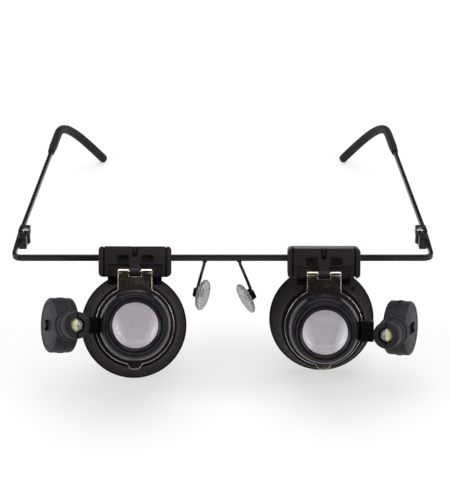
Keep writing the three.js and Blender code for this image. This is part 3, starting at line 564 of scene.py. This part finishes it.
def led_material(word, side):
    """A glossy dome, painted as it looks inside: yellow phosphor outward, the grey lead frame inward."""
    nodes = Nodes(f"led_epoxy_{word}")
    split = nodes.tree.nodes.new("ShaderNodeSeparateXYZ")
    nodes.link(nodes.place, split.inputs[0])
    wobble = nodes.add(split.outputs["X"], nodes.noise(1.2, 2.0), 0.9 * MM)
    edge = nodes.spread(wobble, (0.45 - side * 0.25) * MM, (0.45 + side * 0.25) * MM)
    phosphor = nodes.colours(nodes.spread(nodes.noise(0.9, 3.0), 0.35, 0.65),
                             (0.72, 0.70, 0.30), (0.86, 0.84, 0.55))
    leads = nodes.colours(nodes.spread(nodes.noise(0.7, 3.0), 0.4, 0.6),
                          (0.08, 0.07, 0.09), (0.34, 0.32, 0.36))
    nodes.link(nodes.colours(edge, leads, phosphor), nodes.shader.inputs["Base Color"])
    nodes.link(nodes.spread(nodes.noise(0.8, 3.0), 0.3, 0.7, 0.05, 0.14), nodes.shader.inputs["Roughness"])
    nodes.link(nodes.bump(nodes.noise(0.6, 2.0), 0.01), nodes.shader.inputs["Normal"])
    nodes.set(IOR=1.52, Coat_Weight=0.6, Coat_Roughness=0.03)
    return nodes.material


LACQUER = moulded("black_lacquer", (0.008, 0.0072, 0.0076), (0.014, 0.0125, 0.013),
                  (0.24, 0.34), 0.5, 0.001, 0.0, 0.06, 1.35)
RUBBER = moulded("ear_rubber", (0.012, 0.0115, 0.012), (0.021, 0.020, 0.021),
                 (0.50, 0.66), 0.18, 0.008, 0.02, 0.2, 1.25)
GLOSS = moulded("gloss_black", (0.011, 0.0085, 0.0095), (0.019, 0.0145, 0.0165),
                (0.30, 0.44), 0.5, 0.002, 0.02, 0.12, 1.03)
BARREL = moulded("barrel_black", (0.010, 0.0085, 0.0115), (0.016, 0.0135, 0.0185),
                 (0.20, 0.32), 0.6, 0.001, 0.0, 0.08, 1.22)
CLIP = moulded("clip_black", (0.026, 0.0215, 0.024), (0.035, 0.029, 0.0325),
               (0.36, 0.48), 0.16, 0.006, 0.01, 0.18, 1.25)
POD = moulded("pod_black", (0.028, 0.0245, 0.030), (0.042, 0.037, 0.045),
              (0.42, 0.55), 0.14, 0.008, 0.01, 0.22, 1.17)
NICKEL = metal("bright_nickel", (0.56, 0.45, 0.36), (0.86, 0.76, 0.66),
               (0.18, 0.30), 3.0, 0.02, smooth=True)
STEEL = metal("plain_steel", (0.42, 0.41, 0.40), (0.58, 0.57, 0.56),
              (0.24, 0.38), 0.5, 0.006, 0.006)
GLASS = lens_glass()
SILICONE = clear("clear_silicone", (0.60, 0.585, 0.605), (0.22, 0.34), 1.36, 1.6, 0.02, 0.6)
EPOXY = {word: led_material(word, side) for word, side in SIDES}


# ---------------------------------------------------------------- spectacle frame
def hinge_knuckles(x, y, radius, spans):
    """A knuckle for each span of height, and the tool that bores them."""
    knuckles = [rod("knuckle", "z", radius, low, high, (x, y, 0), 0.12) for low, high in spans]
    return knuckles, rod("bore", "z", HINGE_BORE, -6, 6, (x, y, 0), 0)


def brow_bar():
    low, high = span("brow_bar", BAR)
    thickness = -2 * low.y
    strip_x = high.x - thickness / 2
    hinge = (BAR.inverted() @ Vector(JOINTS["right_temple_fold"]["pos_m"])) / MM
    knuckle = high.y - hinge.y
    bend = (strip_x - BAR_CORNER, BAR_CORNER)
    right = [(strip_x, hinge.y - 0.3), *arc(bend, BAR_CORNER, 0, -90, 14)]
    path = [(x, y, 0) for x, y in right] + [(-x, y, 0) for x, y in reversed(right)]
    section = rectangle(thickness, BAR_HEIGHT, 0.42, steps=4)
    bar = sweep("bar", path, section)
    leaf_end = hinge.y - knuckle - 0.2
    inner, outer = hinge.x - HINGE_HALF, hinge.x + HINGE_HALF
    spans = ((KNUCKLE_LOW, high.z), (low.z, -KNUCKLE_LOW))
    for _, side in SIDES:
        leaf = side_block("leaf", side, inner, strip_x - thickness / 2 + 0.3,
                          leaf_end - 3.6, leaf_end, low.z, high.z, 0.3)
        necks = [side_block("neck", side, inner, outer, leaf_end - 0.5, hinge.y - 0.5, z0, z1, 0.1)
                 for z0, z1 in spans]
        knuckles, bore = hinge_knuckles(side * hinge.x, hinge.y, knuckle, spans)
        join(bar, leaf, *necks, *knuckles)
        cut(bar, bore)
    return settle(bar, BAR, "frame", "black_metal", LACQUER, "brow_bar")


def hinge_screw(word):
    low, high = span(f"hinge_screw_{word}", BAR)
    x, y = (low.x + high.x) / 2, (low.y + high.y) / 2
    head = (high.x - low.x) / 2
    outline = rounded([(0, low.z), (0.5, low.z, 0.1), (0.5, high.z - 0.7), (head, high.z - 0.7, 0.1),
                       (head, high.z - 0.1, 0.25), (0, high.z + 0.05)], 3)
    screw = lathe("screw", outline, "z", (x, y, 0), ROUND)
    cut(screw, block("slot", (x - 2, y - SCREW_SLOT / 2, high.z - 0.3),
                     (x + 2, y + SCREW_SLOT / 2, high.z + 1), 0))
    return settle(screw, BAR, "frame", "steel", STEEL, f"hinge_screw_{word}")


def temple(word, side):
    where = temple_place(word, side)
    low, high = span(f"temple_{word}", where)
    x = side * TEMPLE_INSET
    section = rectangle(TEMPLE_WIDTH, TEMPLE_HEIGHT, 0.45, steps=4)
    path = [(x, low.y + 1.8 + (high.y - low.y - 1.8) * i / 12, 0) for i in range(13)]
    wire = sweep("temple", path, section)
    leaf = side_block("leaf", side, -HINGE_HALF, TEMPLE_INSET + TEMPLE_WIDTH / 2, 1.75, 6.4, -1.6, 1.6, 0.3)
    neck = block("neck", (-HINGE_HALF, 0.5, -0.65), (HINGE_HALF, 2.6, 0.65), 0.05)
    knuckles, bore = hinge_knuckles(0, 0, -low.y, ((-0.7, 0.7),))
    join(wire, leaf, neck, *knuckles)
    cut(wire, bore)
    settle(wire, where, f"{word}_temple", "black_metal", LACQUER, f"temple_{word}")
    return ear_tip(word, side, where)


def ear_tip(word, side, where):
    """A soft sleeve over the temple that thickens into a flat rounded paddle past the bend."""
    low, high = span(f"ear_tip_{word}", where)
    inner = high.x if side < 0 else low.x
    radius = SLEEVE_WIDTH / 2
    end = Vector((inner + side * radius, high.y - radius, low.z + radius))
    x = side * TEMPLE_INSET
    drop, inward = end.z, end.x - x
    bend_y = end.y - EAR_BACK
    start = Vector((x, bend_y - BEND_EASE, 0))
    straight = [Vector((x, low.y + (start.y - low.y) * i / 10, 0)) for i in range(10)]
    bend = bezier(start, (x, bend_y + 0.2 * EAR_BACK, 0),
                  (x + 0.45 * inward, bend_y + 0.45 * EAR_BACK, 0.4 * drop), end, 40)
    path = straight + bend
    sections = []
    for i in range(len(path)):
        share = i / (len(path) - 1)
        mouth = min(1.0, 0.80 + 0.20 * i / 3)
        paddle = max(0.0, (share - 0.45) / 0.55)
        width = SLEEVE_WIDTH / 2 * mouth * (1 - 0.06 * paddle)
        height = SLEEVE_HEIGHT / 2 * mouth * (1 + 0.02 * paddle)
        sections.append(ellipse(width, height, 28))
    tangent = (path[-1] - path[-2]).normalized()
    for k in range(1, 7):
        turn = math.pi / 2 * k / 6
        path.append(end + tangent * radius * 0.95 * math.sin(turn))
        scale = max(0.02, math.cos(turn))
        sections.append([(a * scale, b * scale) for a, b in sections[len(straight) + 40]])
    tip = sweep("ear_tip", path, sections)
    return settle(tip, where, f"{word}_temple", "ear_rubber", RUBBER, f"ear_tip_{word}", angle=60)


# ---------------------------------------------------------------- nose pads
def nose_wire(word, side):
    low, high = span(f"nose_wire_{word}", BAR)
    seat = (BAR.inverted() @ nose_place(word).translation) / MM
    radius = NOSE_WIRE
    root = side * (min(abs(low.x), abs(high.x)) + radius)
    top = -BAR_HEIGHT / 2
    bottom = low.z
    path = smooth_curve([
        (root, 0, top + 0.2), (root + 0.12 * (seat.x - root), 0.15 * seat.y, 0.85 * top + 0.15 * bottom),
        (root + 0.55 * (seat.x - root), 0.75 * seat.y, 0.45 * top + 0.55 * bottom),
        (seat.x, seat.y, bottom + 1), (seat.x, seat.y, bottom - 0.4)], 12)
    wire = sweep("nose_wire", path, ellipse(radius, radius, 16), (0, 1, 0))
    outline = rounded([(0, top - 0.9), (0.75, top - 0.5, 0.3), (0.95, top + 0.1, 0.2), (0, top + 0.1)], 4)
    blob = lathe("solder", outline, "z", (root, 0, 0), 24)
    join(wire, blob)
    return settle(wire, BAR, "frame", "black_metal", LACQUER, f"nose_wire_{word}", angle=50)


def pad_box(word, side):
    where = nose_place(word)
    low, high = span(f"pad_box_{word}", where)
    grow = Vector((0, PAD_BOX_MORE, PAD_BOX_MORE))
    low, high = low - grow, high + grow
    if side > 0:
        high.x += PAD_BOX_MORE
    else:
        low.x -= PAD_BOX_MORE
    box = block("pad_box", low, high, 0.6)
    screw = rod("pad_screw", "x", 0.55, 0, side * (high.x + 0.25), edge=0.15, steps=24)
    join(box, screw)
    return settle(box, where, "frame", "black_metal", LACQUER, f"pad_box_{word}")


def nose_pad(word, side):
    """A soft clear oval, hollowed a little on the nose side, with a thicker rim."""
    where = nose_place(word)
    low, high = span(f"nose_pad_{word}", where)
    inner, outer = (low.x, high.x) if side > 0 else (high.x, low.x)
    half_y, half_z = (high.y - low.y) / 2, (high.z - low.z) / 2
    # each ring's share of the full oval, and how far through the pad it lies
    profile = [(0.02, 0.30), (0.45, 0.26), (0.80, 0.12), (0.93, 0.02), (0.985, 0.14),
               (1.0, 0.45), (0.97, 0.80), (0.88, 0.98), (0.60, 1.0), (0.02, 1.0)]
    rings = []
    for share, depth in profile:
        x = inner + (outer - inner) * depth
        rings.append([(x, y, z) for y, z in ellipse(share * half_y, share * half_z, 48)])
    pad = rings_object("nose_pad", rings)
    modifier = pad.modifiers.new("round", "SUBSURF")
    modifier.levels = modifier.render_levels = 1
    bake(pad)
    # the moulded stud that clicks into the pad box
    stud_end = outer + side * 0.3
    join(pad, rod("stud", "x", 0.9, inner + (outer - inner) * 0.7, stud_end, edge=0.1, steps=24))
    return settle(pad, where, f"{word}_pad", "silicone", SILICONE, f"nose_pad_{word}", angle=60)


# ---------------------------------------------------------------- clip
def clip(word, where):
    low, high = span(f"clip_bracket_{word}", where)
    _, jaw_high = span(f"clip_jaw_{word}", where)
    _, plate_high = span(f"hinge_plate_{word}", where)
    pin_low, pin_high = span(f"hinge_pin_{word}", where)
    pin_y, pin_z = (pin_low.y + pin_high.y) / 2, (pin_low.z + pin_high.z) / 2
    width, height, middle = high.x - low.x, high.z - low.z, (high.z + low.z) / 2
    inside = jaw_high.x + 0.15
    roll = plate_high.z - pin_z
    bracket = prism("bracket", rectangle(width, height, 1.3, 0, middle), low.y, high.y)
    room = block("room", (-inside, low.y - 1, low.z - 1), (inside, 0.12, high.z + 1), 0)
    cut(bracket, room)
    bore = rod("bore", "x", BAR_BORE, -width, width, edge=0)
    screws = [rod("seat", "y", 1.6, high.y - 1.2, high.y + 1, (sx * CLIP_SCREW_X, 0, CLIP_SCREW_Z), 0)
              for sx in (-1, 1)]
    cut(bracket, bore, *screws)
    soften(bracket, 0.28)
    settle(bracket, where, f"{word}_clip", "matte_black", CLIP, f"clip_bracket_{word}")

    half = jaw_high.x - 0.4
    jaw = block("jaw", (-half, JAW_FRONT, JAW_STEP), (half, -0.12, high.z), 0)
    lower = block("lower", (-half, JAW_LEDGE, low.z), (half, -0.12, JAW_STEP + 0.4), 0)
    ribs = [side_block("rib", sx, half - 1.2, half, JAW_FRONT + 0.5, -0.2, low.z, JAW_STEP + 0.4, 0)
            for sx in (-1, 1)]
    join(jaw, lower, *ribs)
    cut(jaw, rod("roll_room", "x", roll + 0.3, -TAB_HALF - 0.3, TAB_HALF + 0.3, (0, pin_y, pin_z), 0),
        block("groove", (-0.95, JAW_FRONT - 1, -0.1), (0.95, JAW_FRONT + 0.9, high.z + 1), 0))
    for sx in (-1, 1):
        cut(jaw, prism("recess", rectangle(4.3, 2.9, 0.85, sx * 4.1, -0.75), JAW_FRONT - 1, JAW_FRONT + 1.2))
    lug = rod("lug", "x", roll + 0.05, -LUG_HALF, LUG_HALF, (0, pin_y, pin_z), 0)
    web = block("web", (-LUG_HALF, pin_y, pin_z - roll), (LUG_HALF, JAW_LEDGE + 0.4, JAW_STEP + 0.2), 0)
    rib = block("rib", (-0.33, JAW_FRONT + 0.25, 1.4), (0.33, JAW_FRONT + 1.1, high.z - 0.2), 0)
    join(jaw, lug, web, rib)
    cut(jaw, rod("bore", "x", BAR_BORE, -width, width, edge=0))
    soften(jaw, 0.2)
    settle(jaw, where, f"{word}_clip", "matte_black", CLIP, f"clip_jaw_{word}")

    for letter in "ab":
        clip_screw(word, letter, where)
    pin = rod("pin", "x", 0.5, pin_low.x, pin_high.x, (0, pin_y, pin_z), 0.15)
    settle(pin, where, f"{word}_clip", "steel", STEEL, f"hinge_pin_{word}")


def clip_screw(word, letter, where):
    low, high = span(f"clip_screw_{letter}_{word}", where)
    x, z = (low.x + high.x) / 2, (low.z + high.z) / 2
    head = (high.x - low.x) / 2
    outline = rounded([(0, low.y), (head / 2, low.y, 0.1), (head / 2, high.y - 0.8), (head, high.y - 0.8),
                       (head, high.y - 0.15, 0.3), (0, high.y)], 4)
    screw = lathe("screw", outline, "y", (x, 0, z), ROUND)
    cut(screw, block("slot", (x - 2, high.y - 0.4, z - 0.2), (x + 2, high.y + 1, z + 0.2), 0))
    return settle(screw, where, f"{word}_clip", "steel", STEEL, f"clip_screw_{letter}_{word}")


# ---------------------------------------------------------------- eyecup and rear lens
def eyecup(word, side, where):
    low, high = span(f"eyecup_{word}", where)
    lens_low, lens_high = span(f"rear_lens_{word}", where)
    rim = high.x
    drop = low.z + rim
    front, rear = low.y, high.y
    lens = lens_high.x
    seat = front + 1.8
    collar = rear - 12.6

    def flare(offset, steps=14):
        """The cup's wall from its front face out to its rim."""
        shares = [i / steps for i in range(steps + 1)]
        return [(CUP_FACE + 0.1 + (rim - CUP_FACE - 0.5) * s ** 1.35 + offset,
                 front + 1.6 + (rear - 1.2 - front - 1.6) * s) for s in shares]

    outline = [(lens - 0.7, front), (CUP_FACE - 1.3, front), (CUP_FACE - 1.2, front + 0.35),
               (CUP_FACE - 0.5, front + 0.3), (CUP_FACE - 0.15, front + 0.5), (CUP_FACE, front + 0.9),
               *flare(0),
               (rim - 0.05, rear - 0.8), (rim, rear - 0.4), (rim - 0.12, rear - 0.1), (rim - 0.4, rear),
               (rim - 0.8, rear), (rim - 1.1, rear - 0.15), *reversed(flare(-CUP_WALL)),
               (CUP_FACE - 1.5, seat + 0.6), (CUP_FACE - 1.9, seat + 0.4), (lens + 1.9, seat + 0.4),
               (lens + 1.7, seat + 0.6), (lens + 1.7, collar - 0.2), (lens + 1.5, collar),
               (lens + 0.5, collar), (lens + 0.3, collar - 0.2), (lens + 0.3, seat), (lens - 0.7, seat)]
    cup = lathe("eyecup", outline, "y", (0, 0, drop), 128)
    tongue = block("tongue", (-TONGUE_HALF, -1.1, drop + CUP_FACE - 0.6), (TONGUE_HALF, 1.1, high.z), 0.2)
    # a thin moulded rib stiffens the flare on the outer side
    turn = Matrix.Rotation(side * RIB_ANGLE, 4, "Y")
    rib_face = ((0.5, 14.6), (6.0, 17.0), (7.5, 15.2))
    rib = rings_object("rib", [[(x, y, z) for y, z in rib_face] for x in (-0.4, 0.4)])
    rib.data.transform(Matrix.Translation((0, 0, drop)) @ turn)
    join(cup, tongue, soften(rib, 0.12, 2))
    settle(cup, where, f"{word}_clip", "gloss_black", GLOSS, f"eyecup_{word}", angle=28)

    outline = lens_outline(lens, lens_low.y, lens_high.y, 0.35)
    rear_lens = lathe("rear_lens", outline, "y", (0, 0, drop), FINE)
    settle(rear_lens, where, f"{word}_clip", "glass", GLASS, f"rear_lens_{word}", angle=30)
    ring_low, ring_high = span(f"rear_lens_ring_{word}", where)
    outer, inner = ring_high.x, ring_high.x - 1.2
    outline = rounded([(inner, ring_low.y, 0.1), (outer, ring_low.y, 0.1), (outer, ring_high.y, 0.15),
                       (inner + 0.3, ring_high.y, 0.15), (inner, ring_high.y - 0.5, 0.1)], 3)
    ring = lathe("ring", outline, "y", (0, 0, drop), FINE)
    settle(ring, where, f"{word}_clip", "matte_black", CLIP, f"rear_lens_ring_{word}")
    return drop


def lens_outline(radius, front, rear, edge_share):
    """A biconvex lens between two faces: shallow spheres on a ground edge."""
    dome = (rear - front) * (1 - edge_share) / 2
    steps = 16
    face = [(radius * i / steps, dome * (1 - (i / steps) ** 2)) for i in range(steps + 1)]
    first = [(r, front + dome - height) for r, height in face]
    second = [(r, rear - dome + height) for r, height in reversed(face)]
    return first + second


# ---------------------------------------------------------------- flip-up front
def hinge_plate(word, where, drop):
    """The nickel ring with its lifting lip, its tab and the two rolls round the hinge pin."""
    low, high = span(f"hinge_plate_{word}", where)
    pin_low, pin_high = span(f"hinge_pin_{word}", where)
    pin_y, pin_z = (pin_low.y + pin_high.y) / 2, (pin_low.z + pin_high.z) / 2
    roll = high.z - pin_z
    radius = high.x
    tab_angle = math.degrees(math.acos(TAB_HALF / radius))
    lip_angle = math.degrees(math.acos(LIP_HALF / radius))
    lip_bottom = low.z - drop
    side_point = -radius * math.sin(math.radians(lip_angle))
    lip = []
    for i in range(1, 20):
        s = -1 + i / 10
        lip.append((LIP_HALF * s, side_point + (lip_bottom - side_point) * (1 - abs(s) ** 3.4)))
    outline = [(TAB_HALF, pin_z - drop), *arc((0, 0), radius, tab_angle, -lip_angle, 40), *reversed(lip),
               *arc((0, 0), radius, 180 + lip_angle, 180 - tab_angle, 40), (-TAB_HALF, pin_z - drop)]
    outline = [(x, z + drop) for x, z in outline]
    plate = prism("plate", outline, pin_y - PLATE_HALF, pin_y + PLATE_HALF)
    cut(plate, rod("hole", "y", PLATE_HOLE, -20, 20, (0, 0, drop), 0, FINE),
        block("notch", (-NOTCH_HALF, -20, pin_z - roll - 0.5), (NOTCH_HALF, 20, pin_z + 3), 0))
    soften(plate, PLATE_EDGE, 3)
    for sx in (-1, 1):
        ends = sorted((sx * NOTCH_HALF, sx * TAB_HALF))
        join(plate, rod("roll", "x", roll, *ends, (0, pin_y, pin_z), 0.15, 48))
    cut(plate, rod("bore", "x", 0.62, -TAB_HALF - 1, TAB_HALF + 1, (0, pin_y, pin_z), 0))
    settle(plate, where, f"{word}_flap", "nickel", NICKEL, f"hinge_plate_{word}")


def barrel(word, where, drop):
    low, high = span(f"barrel_{word}", where)
    lens_low, lens_high = span(f"front_lens_{word}", where)
    bezel_low, bezel_high = span(f"bezel_{word}", where)
    _, plate_high = span(f"hinge_plate_{word}", where)
    flange = plate_high.x - RING_SHOWS
    front, rear = low.y, high.y
    shoulder = rear - 1.9
    lens = lens_high.x
    bezel = bezel_high.x
    bore = APERTURE + 0.3
    root = shoulder - 1.5
    brow = flange - 1.0
    dome_depth, dome_rise = 6.7, brow - bezel - 0.25
    dome = [(brow - dome_rise * (1 - math.cos(a)), root - dome_depth * math.sin(a))
            for a in (math.pi / 2 * i / 20 for i in range(21))]
    outline = [(bore, rear), (SPIGOT - 0.15, rear), (SPIGOT, rear - 0.15), (SPIGOT, shoulder),
               (flange - 0.1, shoulder), (flange, shoulder - 0.12), (flange, shoulder - 1.15),
               (flange - 0.12, shoulder - 1.25), (brow + 0.25, shoulder - 1.35), *dome,
               (bezel, root - dome_depth - 0.3), (bezel, front + 0.1), (bezel - 0.1, front),
               (lens + 0.3, front), (lens + 0.3, lens_high.y + 0.3), (bore, lens_high.y + 0.3)]
    body = lathe("barrel", outline, "y", (0, 0, drop), 2 * KNURL_TEETH)
    # every second step round the flange is pressed in, which leaves the knurl's teeth
    for vertex in body.data.vertices:
        across = Vector((vertex.co.x, vertex.co.z - drop))
        step = round(math.atan2(across.y, across.x) * KNURL_TEETH / math.pi)
        if across.length > flange - 0.15 and step % 2:
            across *= (flange - KNURL_DEPTH) / across.length
            vertex.co.x, vertex.co.z = across.x, across.y + drop
    settle(body, where, f"{word}_flap", "gloss_black", BARREL, f"barrel_{word}", angle=26)
    glass = lathe("front_lens", lens_outline(lens, lens_low.y, lens_high.y, 0.3), "y", (0, 0, drop), FINE)
    settle(glass, where, f"{word}_flap", "glass", GLASS, f"front_lens_{word}", angle=30)
    outline = rounded([(APERTURE, bezel_high.y), (bezel, bezel_high.y, 0.12), (bezel, bezel_low.y, 0.45),
                       (APERTURE + 0.9, bezel_low.y, 0.25), (APERTURE, bezel_low.y + 0.7, 0.2)], 5)
    bezel_ring = lathe("bezel", outline, "y", (0, 0, drop), FINE)
    settle(bezel_ring, where, f"{word}_flap", "gloss_black", BARREL, f"bezel_{word}", angle=30)


# ---------------------------------------------------------------- lamp
def lamp(word, where, drop):
    low, high = span(f"lamp_arm_{word}", where)
    _, barrel_high = span(f"barrel_{word}", where)
    arm = block("arm", low, (high.x, high.y, drop + (high.z - low.z) / 2), 0)
    cut(arm, rod("saddle", "y", barrel_high.x + 0.02, low.y - 2, high.y + 2, (0, 0, drop), 0, FINE))
    soften(arm, 0.35)
    settle(arm, where, f"{word}_flap", "matte_black", GLOSS, f"lamp_arm_{word}")
    pivot_low, pivot_high = span(f"lamp_pivot_{word}", where)
    y, z = (pivot_low.y + pivot_high.y) / 2, (pivot_low.z + pivot_high.z) / 2
    pivot = rod("pivot", "x", (pivot_high.y - pivot_low.y) / 2, pivot_low.x, pivot_high.x, (0, y, z), 0.1)
    settle(pivot, where, f"{word}_flap", "steel", STEEL, f"lamp_pivot_{word}")


def pod_shell(name, side, tube_end, sign):
    """Half of the clamshell pod, drawn for the right side: half a disc's thickness and half the lamp tube."""
    radius, tube = POD_RADIUS, TUBE_RADIUS
    seam = 0.02
    disc = rounded([(0, sign * seam), (radius - 0.14, sign * seam, 0.05), (radius, sign * 0.16, 0.06),
                    (radius, sign * POD_HALF, 0.8), (0, sign * POD_HALF)], 5)
    shell = lathe(name, disc, "x", (0, 0, 0), 128)
    outline = [(0, -radius + 3), (tube + 0.75, -radius + 3), (tube + 0.75, -radius - 0.7),
               (tube + 0.55, -radius - 1.1), (tube + 0.25, -radius - 1.2), (tube + 0.2, -radius - 3.6),
               (tube - 0.1, -radius - 3.8), (tube - 0.1, -radius - 4.3), (tube, -radius - 4.5),
               (tube, tube_end + 0.5), (tube - 0.15, tube_end + 0.14), (tube - 0.5, tube_end), (0, tube_end)]
    lamp_tube = lathe("tube", outline, "y", (0, 0, 0), 94)
    cut(lamp_tube, side_block("other_half", -sign, -seam - 0.01, 20, -40, 40, -20, 20, 0))
    join(shell, lamp_tube)
    for up in (-1, 1):
        nub_ends = (up * (radius - 0.8), up * (radius + 0.14))
        join(shell, side_block("nub", sign, 0.04, 0.8, -1.5, 1.5, *nub_ends, 0.12))
    cut(shell, rod("cells", "x", 8.3, *sorted((-sign * 0.6, sign * 2.2)), (0, 0, 0), 0, 64),
        rod("led_bore", "y", 2.6, tube_end - 1, -radius - 2, (0, 0, 0), 0, 46),
        block("slit", (-0.3, tube_end - 1, -6), (0.3, -radius - 1.5, 6), 0))
    if sign > 0:
        cut(shell, rod("cap_seat", "x", CAP_SEAT, 1, 20, (0, 0, 0), 0, 96))
    return mirrored(shell, side)


def pod(word, side):
    where = pod_place(word, side)
    low, _ = span(f"pod_inner_{word}", where)
    for name, sign in (("pod_inner", -1), ("pod_outer", 1)):
        shell = pod_shell(name, side, low.y, sign)
        settle(shell, where, f"{word}_pod", "matte_black", POD, f"{name}_{word}", angle=30)

    cap_low, cap_high = span(f"battery_cap_{word}", where)
    face = max(abs(cap_low.x), abs(cap_high.x))
    thickness = cap_high.x - cap_low.x
    cap = rod("cap", "x", CAP_RADIUS, face - thickness, face + 0.06, (0, 0, 0), 0.12, 96)
    recess = rounded([(-4.4, -1.1, 0.8), (-1.6, -1.95, 0.8), (4.0, -1.85, 0.5), (4.5, -1.0, 0.3),
                      (2.7, 0.0, 0.4), (4.4, 1.1, 0.3), (3.8, 1.9, 0.5), (-1.6, 1.95, 0.8),
                      (-4.4, 1.1, 0.8)], 4)
    cut(cap, rings_object("recess", [[(x, y, z) for y, z in recess] for x in (face - 0.95, face + 1)]))
    mirrored(cap, side)
    settle(cap, where, f"{word}_cap", "matte_black", POD, f"battery_cap_{word}", angle=30)

    led_low, led_high = span(f"led_{word}", where)
    radius = led_high.x
    dome_height = 1.9
    dome = [(radius * math.cos(a), led_low.y + dome_height - dome_height * math.sin(a))
            for a in (math.pi / 2 * i / 12 for i in range(13))]
    led = lathe("led", [(0, led_high.y), (radius, led_high.y), *dome], "y", (0, 0, 0), 64)
    mirrored(led, side)
    settle(led, where, f"{word}_pod", "led_lens", EPOXY[word], f"led_{word}", angle=50)


# ---------------------------------------------------------------- pieces that stay as the CAD has them
KEPT = {
    "slide_bush": CLIP, "barrel_retainer": STEEL, "coin_cell_inner": STEEL, "coin_cell_outer": STEEL,
    "contact_spring": NICKEL,
}


def build():
    brow_bar()
    for word, side in SIDES:
        hinge_screw(word)
        temple(word, side)
        nose_wire(word, side)
        pad_box(word, side)
        nose_pad(word, side)
        unit = unit_place(word)
        clip(word, unit)
        drop = eyecup(word, side, unit)
        hinge_plate(word, unit, drop)
        barrel(word, unit, drop)
        lamp(word, unit, drop)
        pod(word, side)
        for name, material in KEPT.items():
            node = frame["nodes"][f"{name}_{word}"]
            node.data.materials.clear()
            node.data.materials.append(material)


build()


# ---------------------------------------------------------------- floor, light and camera
def floor():
    """A pale floor that gives off some light of its own, which weakens the shadows on it."""
    half = 4.0
    mesh = bpy.data.meshes.new("floor")
    corners = [(-half, -half, 0), (half, -half, 0), (half, half, 0), (-half, half, 0)]
    mesh.from_pydata(corners, [], [(0, 1, 2, 3)])
    obj = bpy.data.objects.new("floor", mesh)
    bpy.context.scene.collection.objects.link(obj)
    nodes = Nodes("pale_floor")
    nodes.set(Base_Color=(0.45, 0.45, 0.45, 1), Roughness=0.9)
    nodes.set(Emission_Color=(1, 1, 1, 1), Emission_Strength=0.58)
    mesh.materials.append(nodes.material)


def softbox(name, position, target, size, power):
    data = bpy.data.lights.new(name, "AREA")
    data.shape = "RECTANGLE"
    data.size, data.size_y = size
    data.energy = power
    obj = bpy.data.objects.new(name, data)
    bpy.context.scene.collection.objects.link(obj)
    obj.location = position
    obj.rotation_euler = (Vector(target) - Vector(position)).to_track_quat("-Z", "Y").to_euler()


def world(front, dark, bright):
    """A grey surround of the node's own colour: bright all round, and dark where the photographer stands."""
    sky = bpy.data.worlds.new("studio")
    bpy.context.scene.world = sky
    sky.use_nodes = True
    tree = sky.node_tree
    directions = tree.nodes.new("ShaderNodeTexCoord")
    dot = tree.nodes.new("ShaderNodeVectorMath")
    dot.operation = "DOT_PRODUCT"
    dot.inputs[1].default_value = front
    tree.links.new(directions.outputs["Generated"], dot.inputs[0])
    ramp = tree.nodes.new("ShaderNodeMapRange")
    ramp.interpolation_type = "SMOOTHSTEP"
    for socket, number in zip(("From Min", "From Max", "To Min", "To Max"), (0.45, 0.9, bright, dark)):
        ramp.inputs[socket].default_value = number
    tree.links.new(dot.outputs["Value"], ramp.inputs["Value"])
    tree.links.new(ramp.outputs["Result"], tree.nodes["Background"].inputs["Strength"])


ELEVATION = math.radians(35)
DISTANCE = 0.476
TOWARDS_CAMERA = Vector((0, -math.cos(ELEVATION), math.sin(ELEVATION)))
LENS = 111.9


def camera():
    target = BAR.translation + Vector((0.00078, 0, 0.00261))
    data = bpy.data.cameras.new("camera")
    data.sensor_fit = "HORIZONTAL"
    data.sensor_width = 36
    data.lens = LENS
    obj = bpy.data.objects.new("camera", data)
    bpy.context.scene.collection.objects.link(obj)
    obj.location = target + TOWARDS_CAMERA * DISTANCE
    obj.rotation_euler = (-TOWARDS_CAMERA).to_track_quat("-Z", "Y").to_euler()
    bpy.context.scene.camera = obj


floor()
world(TOWARDS_CAMERA, 0.12, 1.0)
softbox("top", (0, 0.25, 0.9), (0, 0, 0), (1.4, 1.0), 9)
softbox("left", (-0.75, -0.25, 0.35), (0, -0.03, 0.03), (0.25, 0.7), 3.5)
softbox("right", (0.75, -0.25, 0.35), (0, -0.03, 0.03), (0.25, 0.7), 3.5)
camera()
bpy.context.scene.view_settings.view_transform = "Standard"
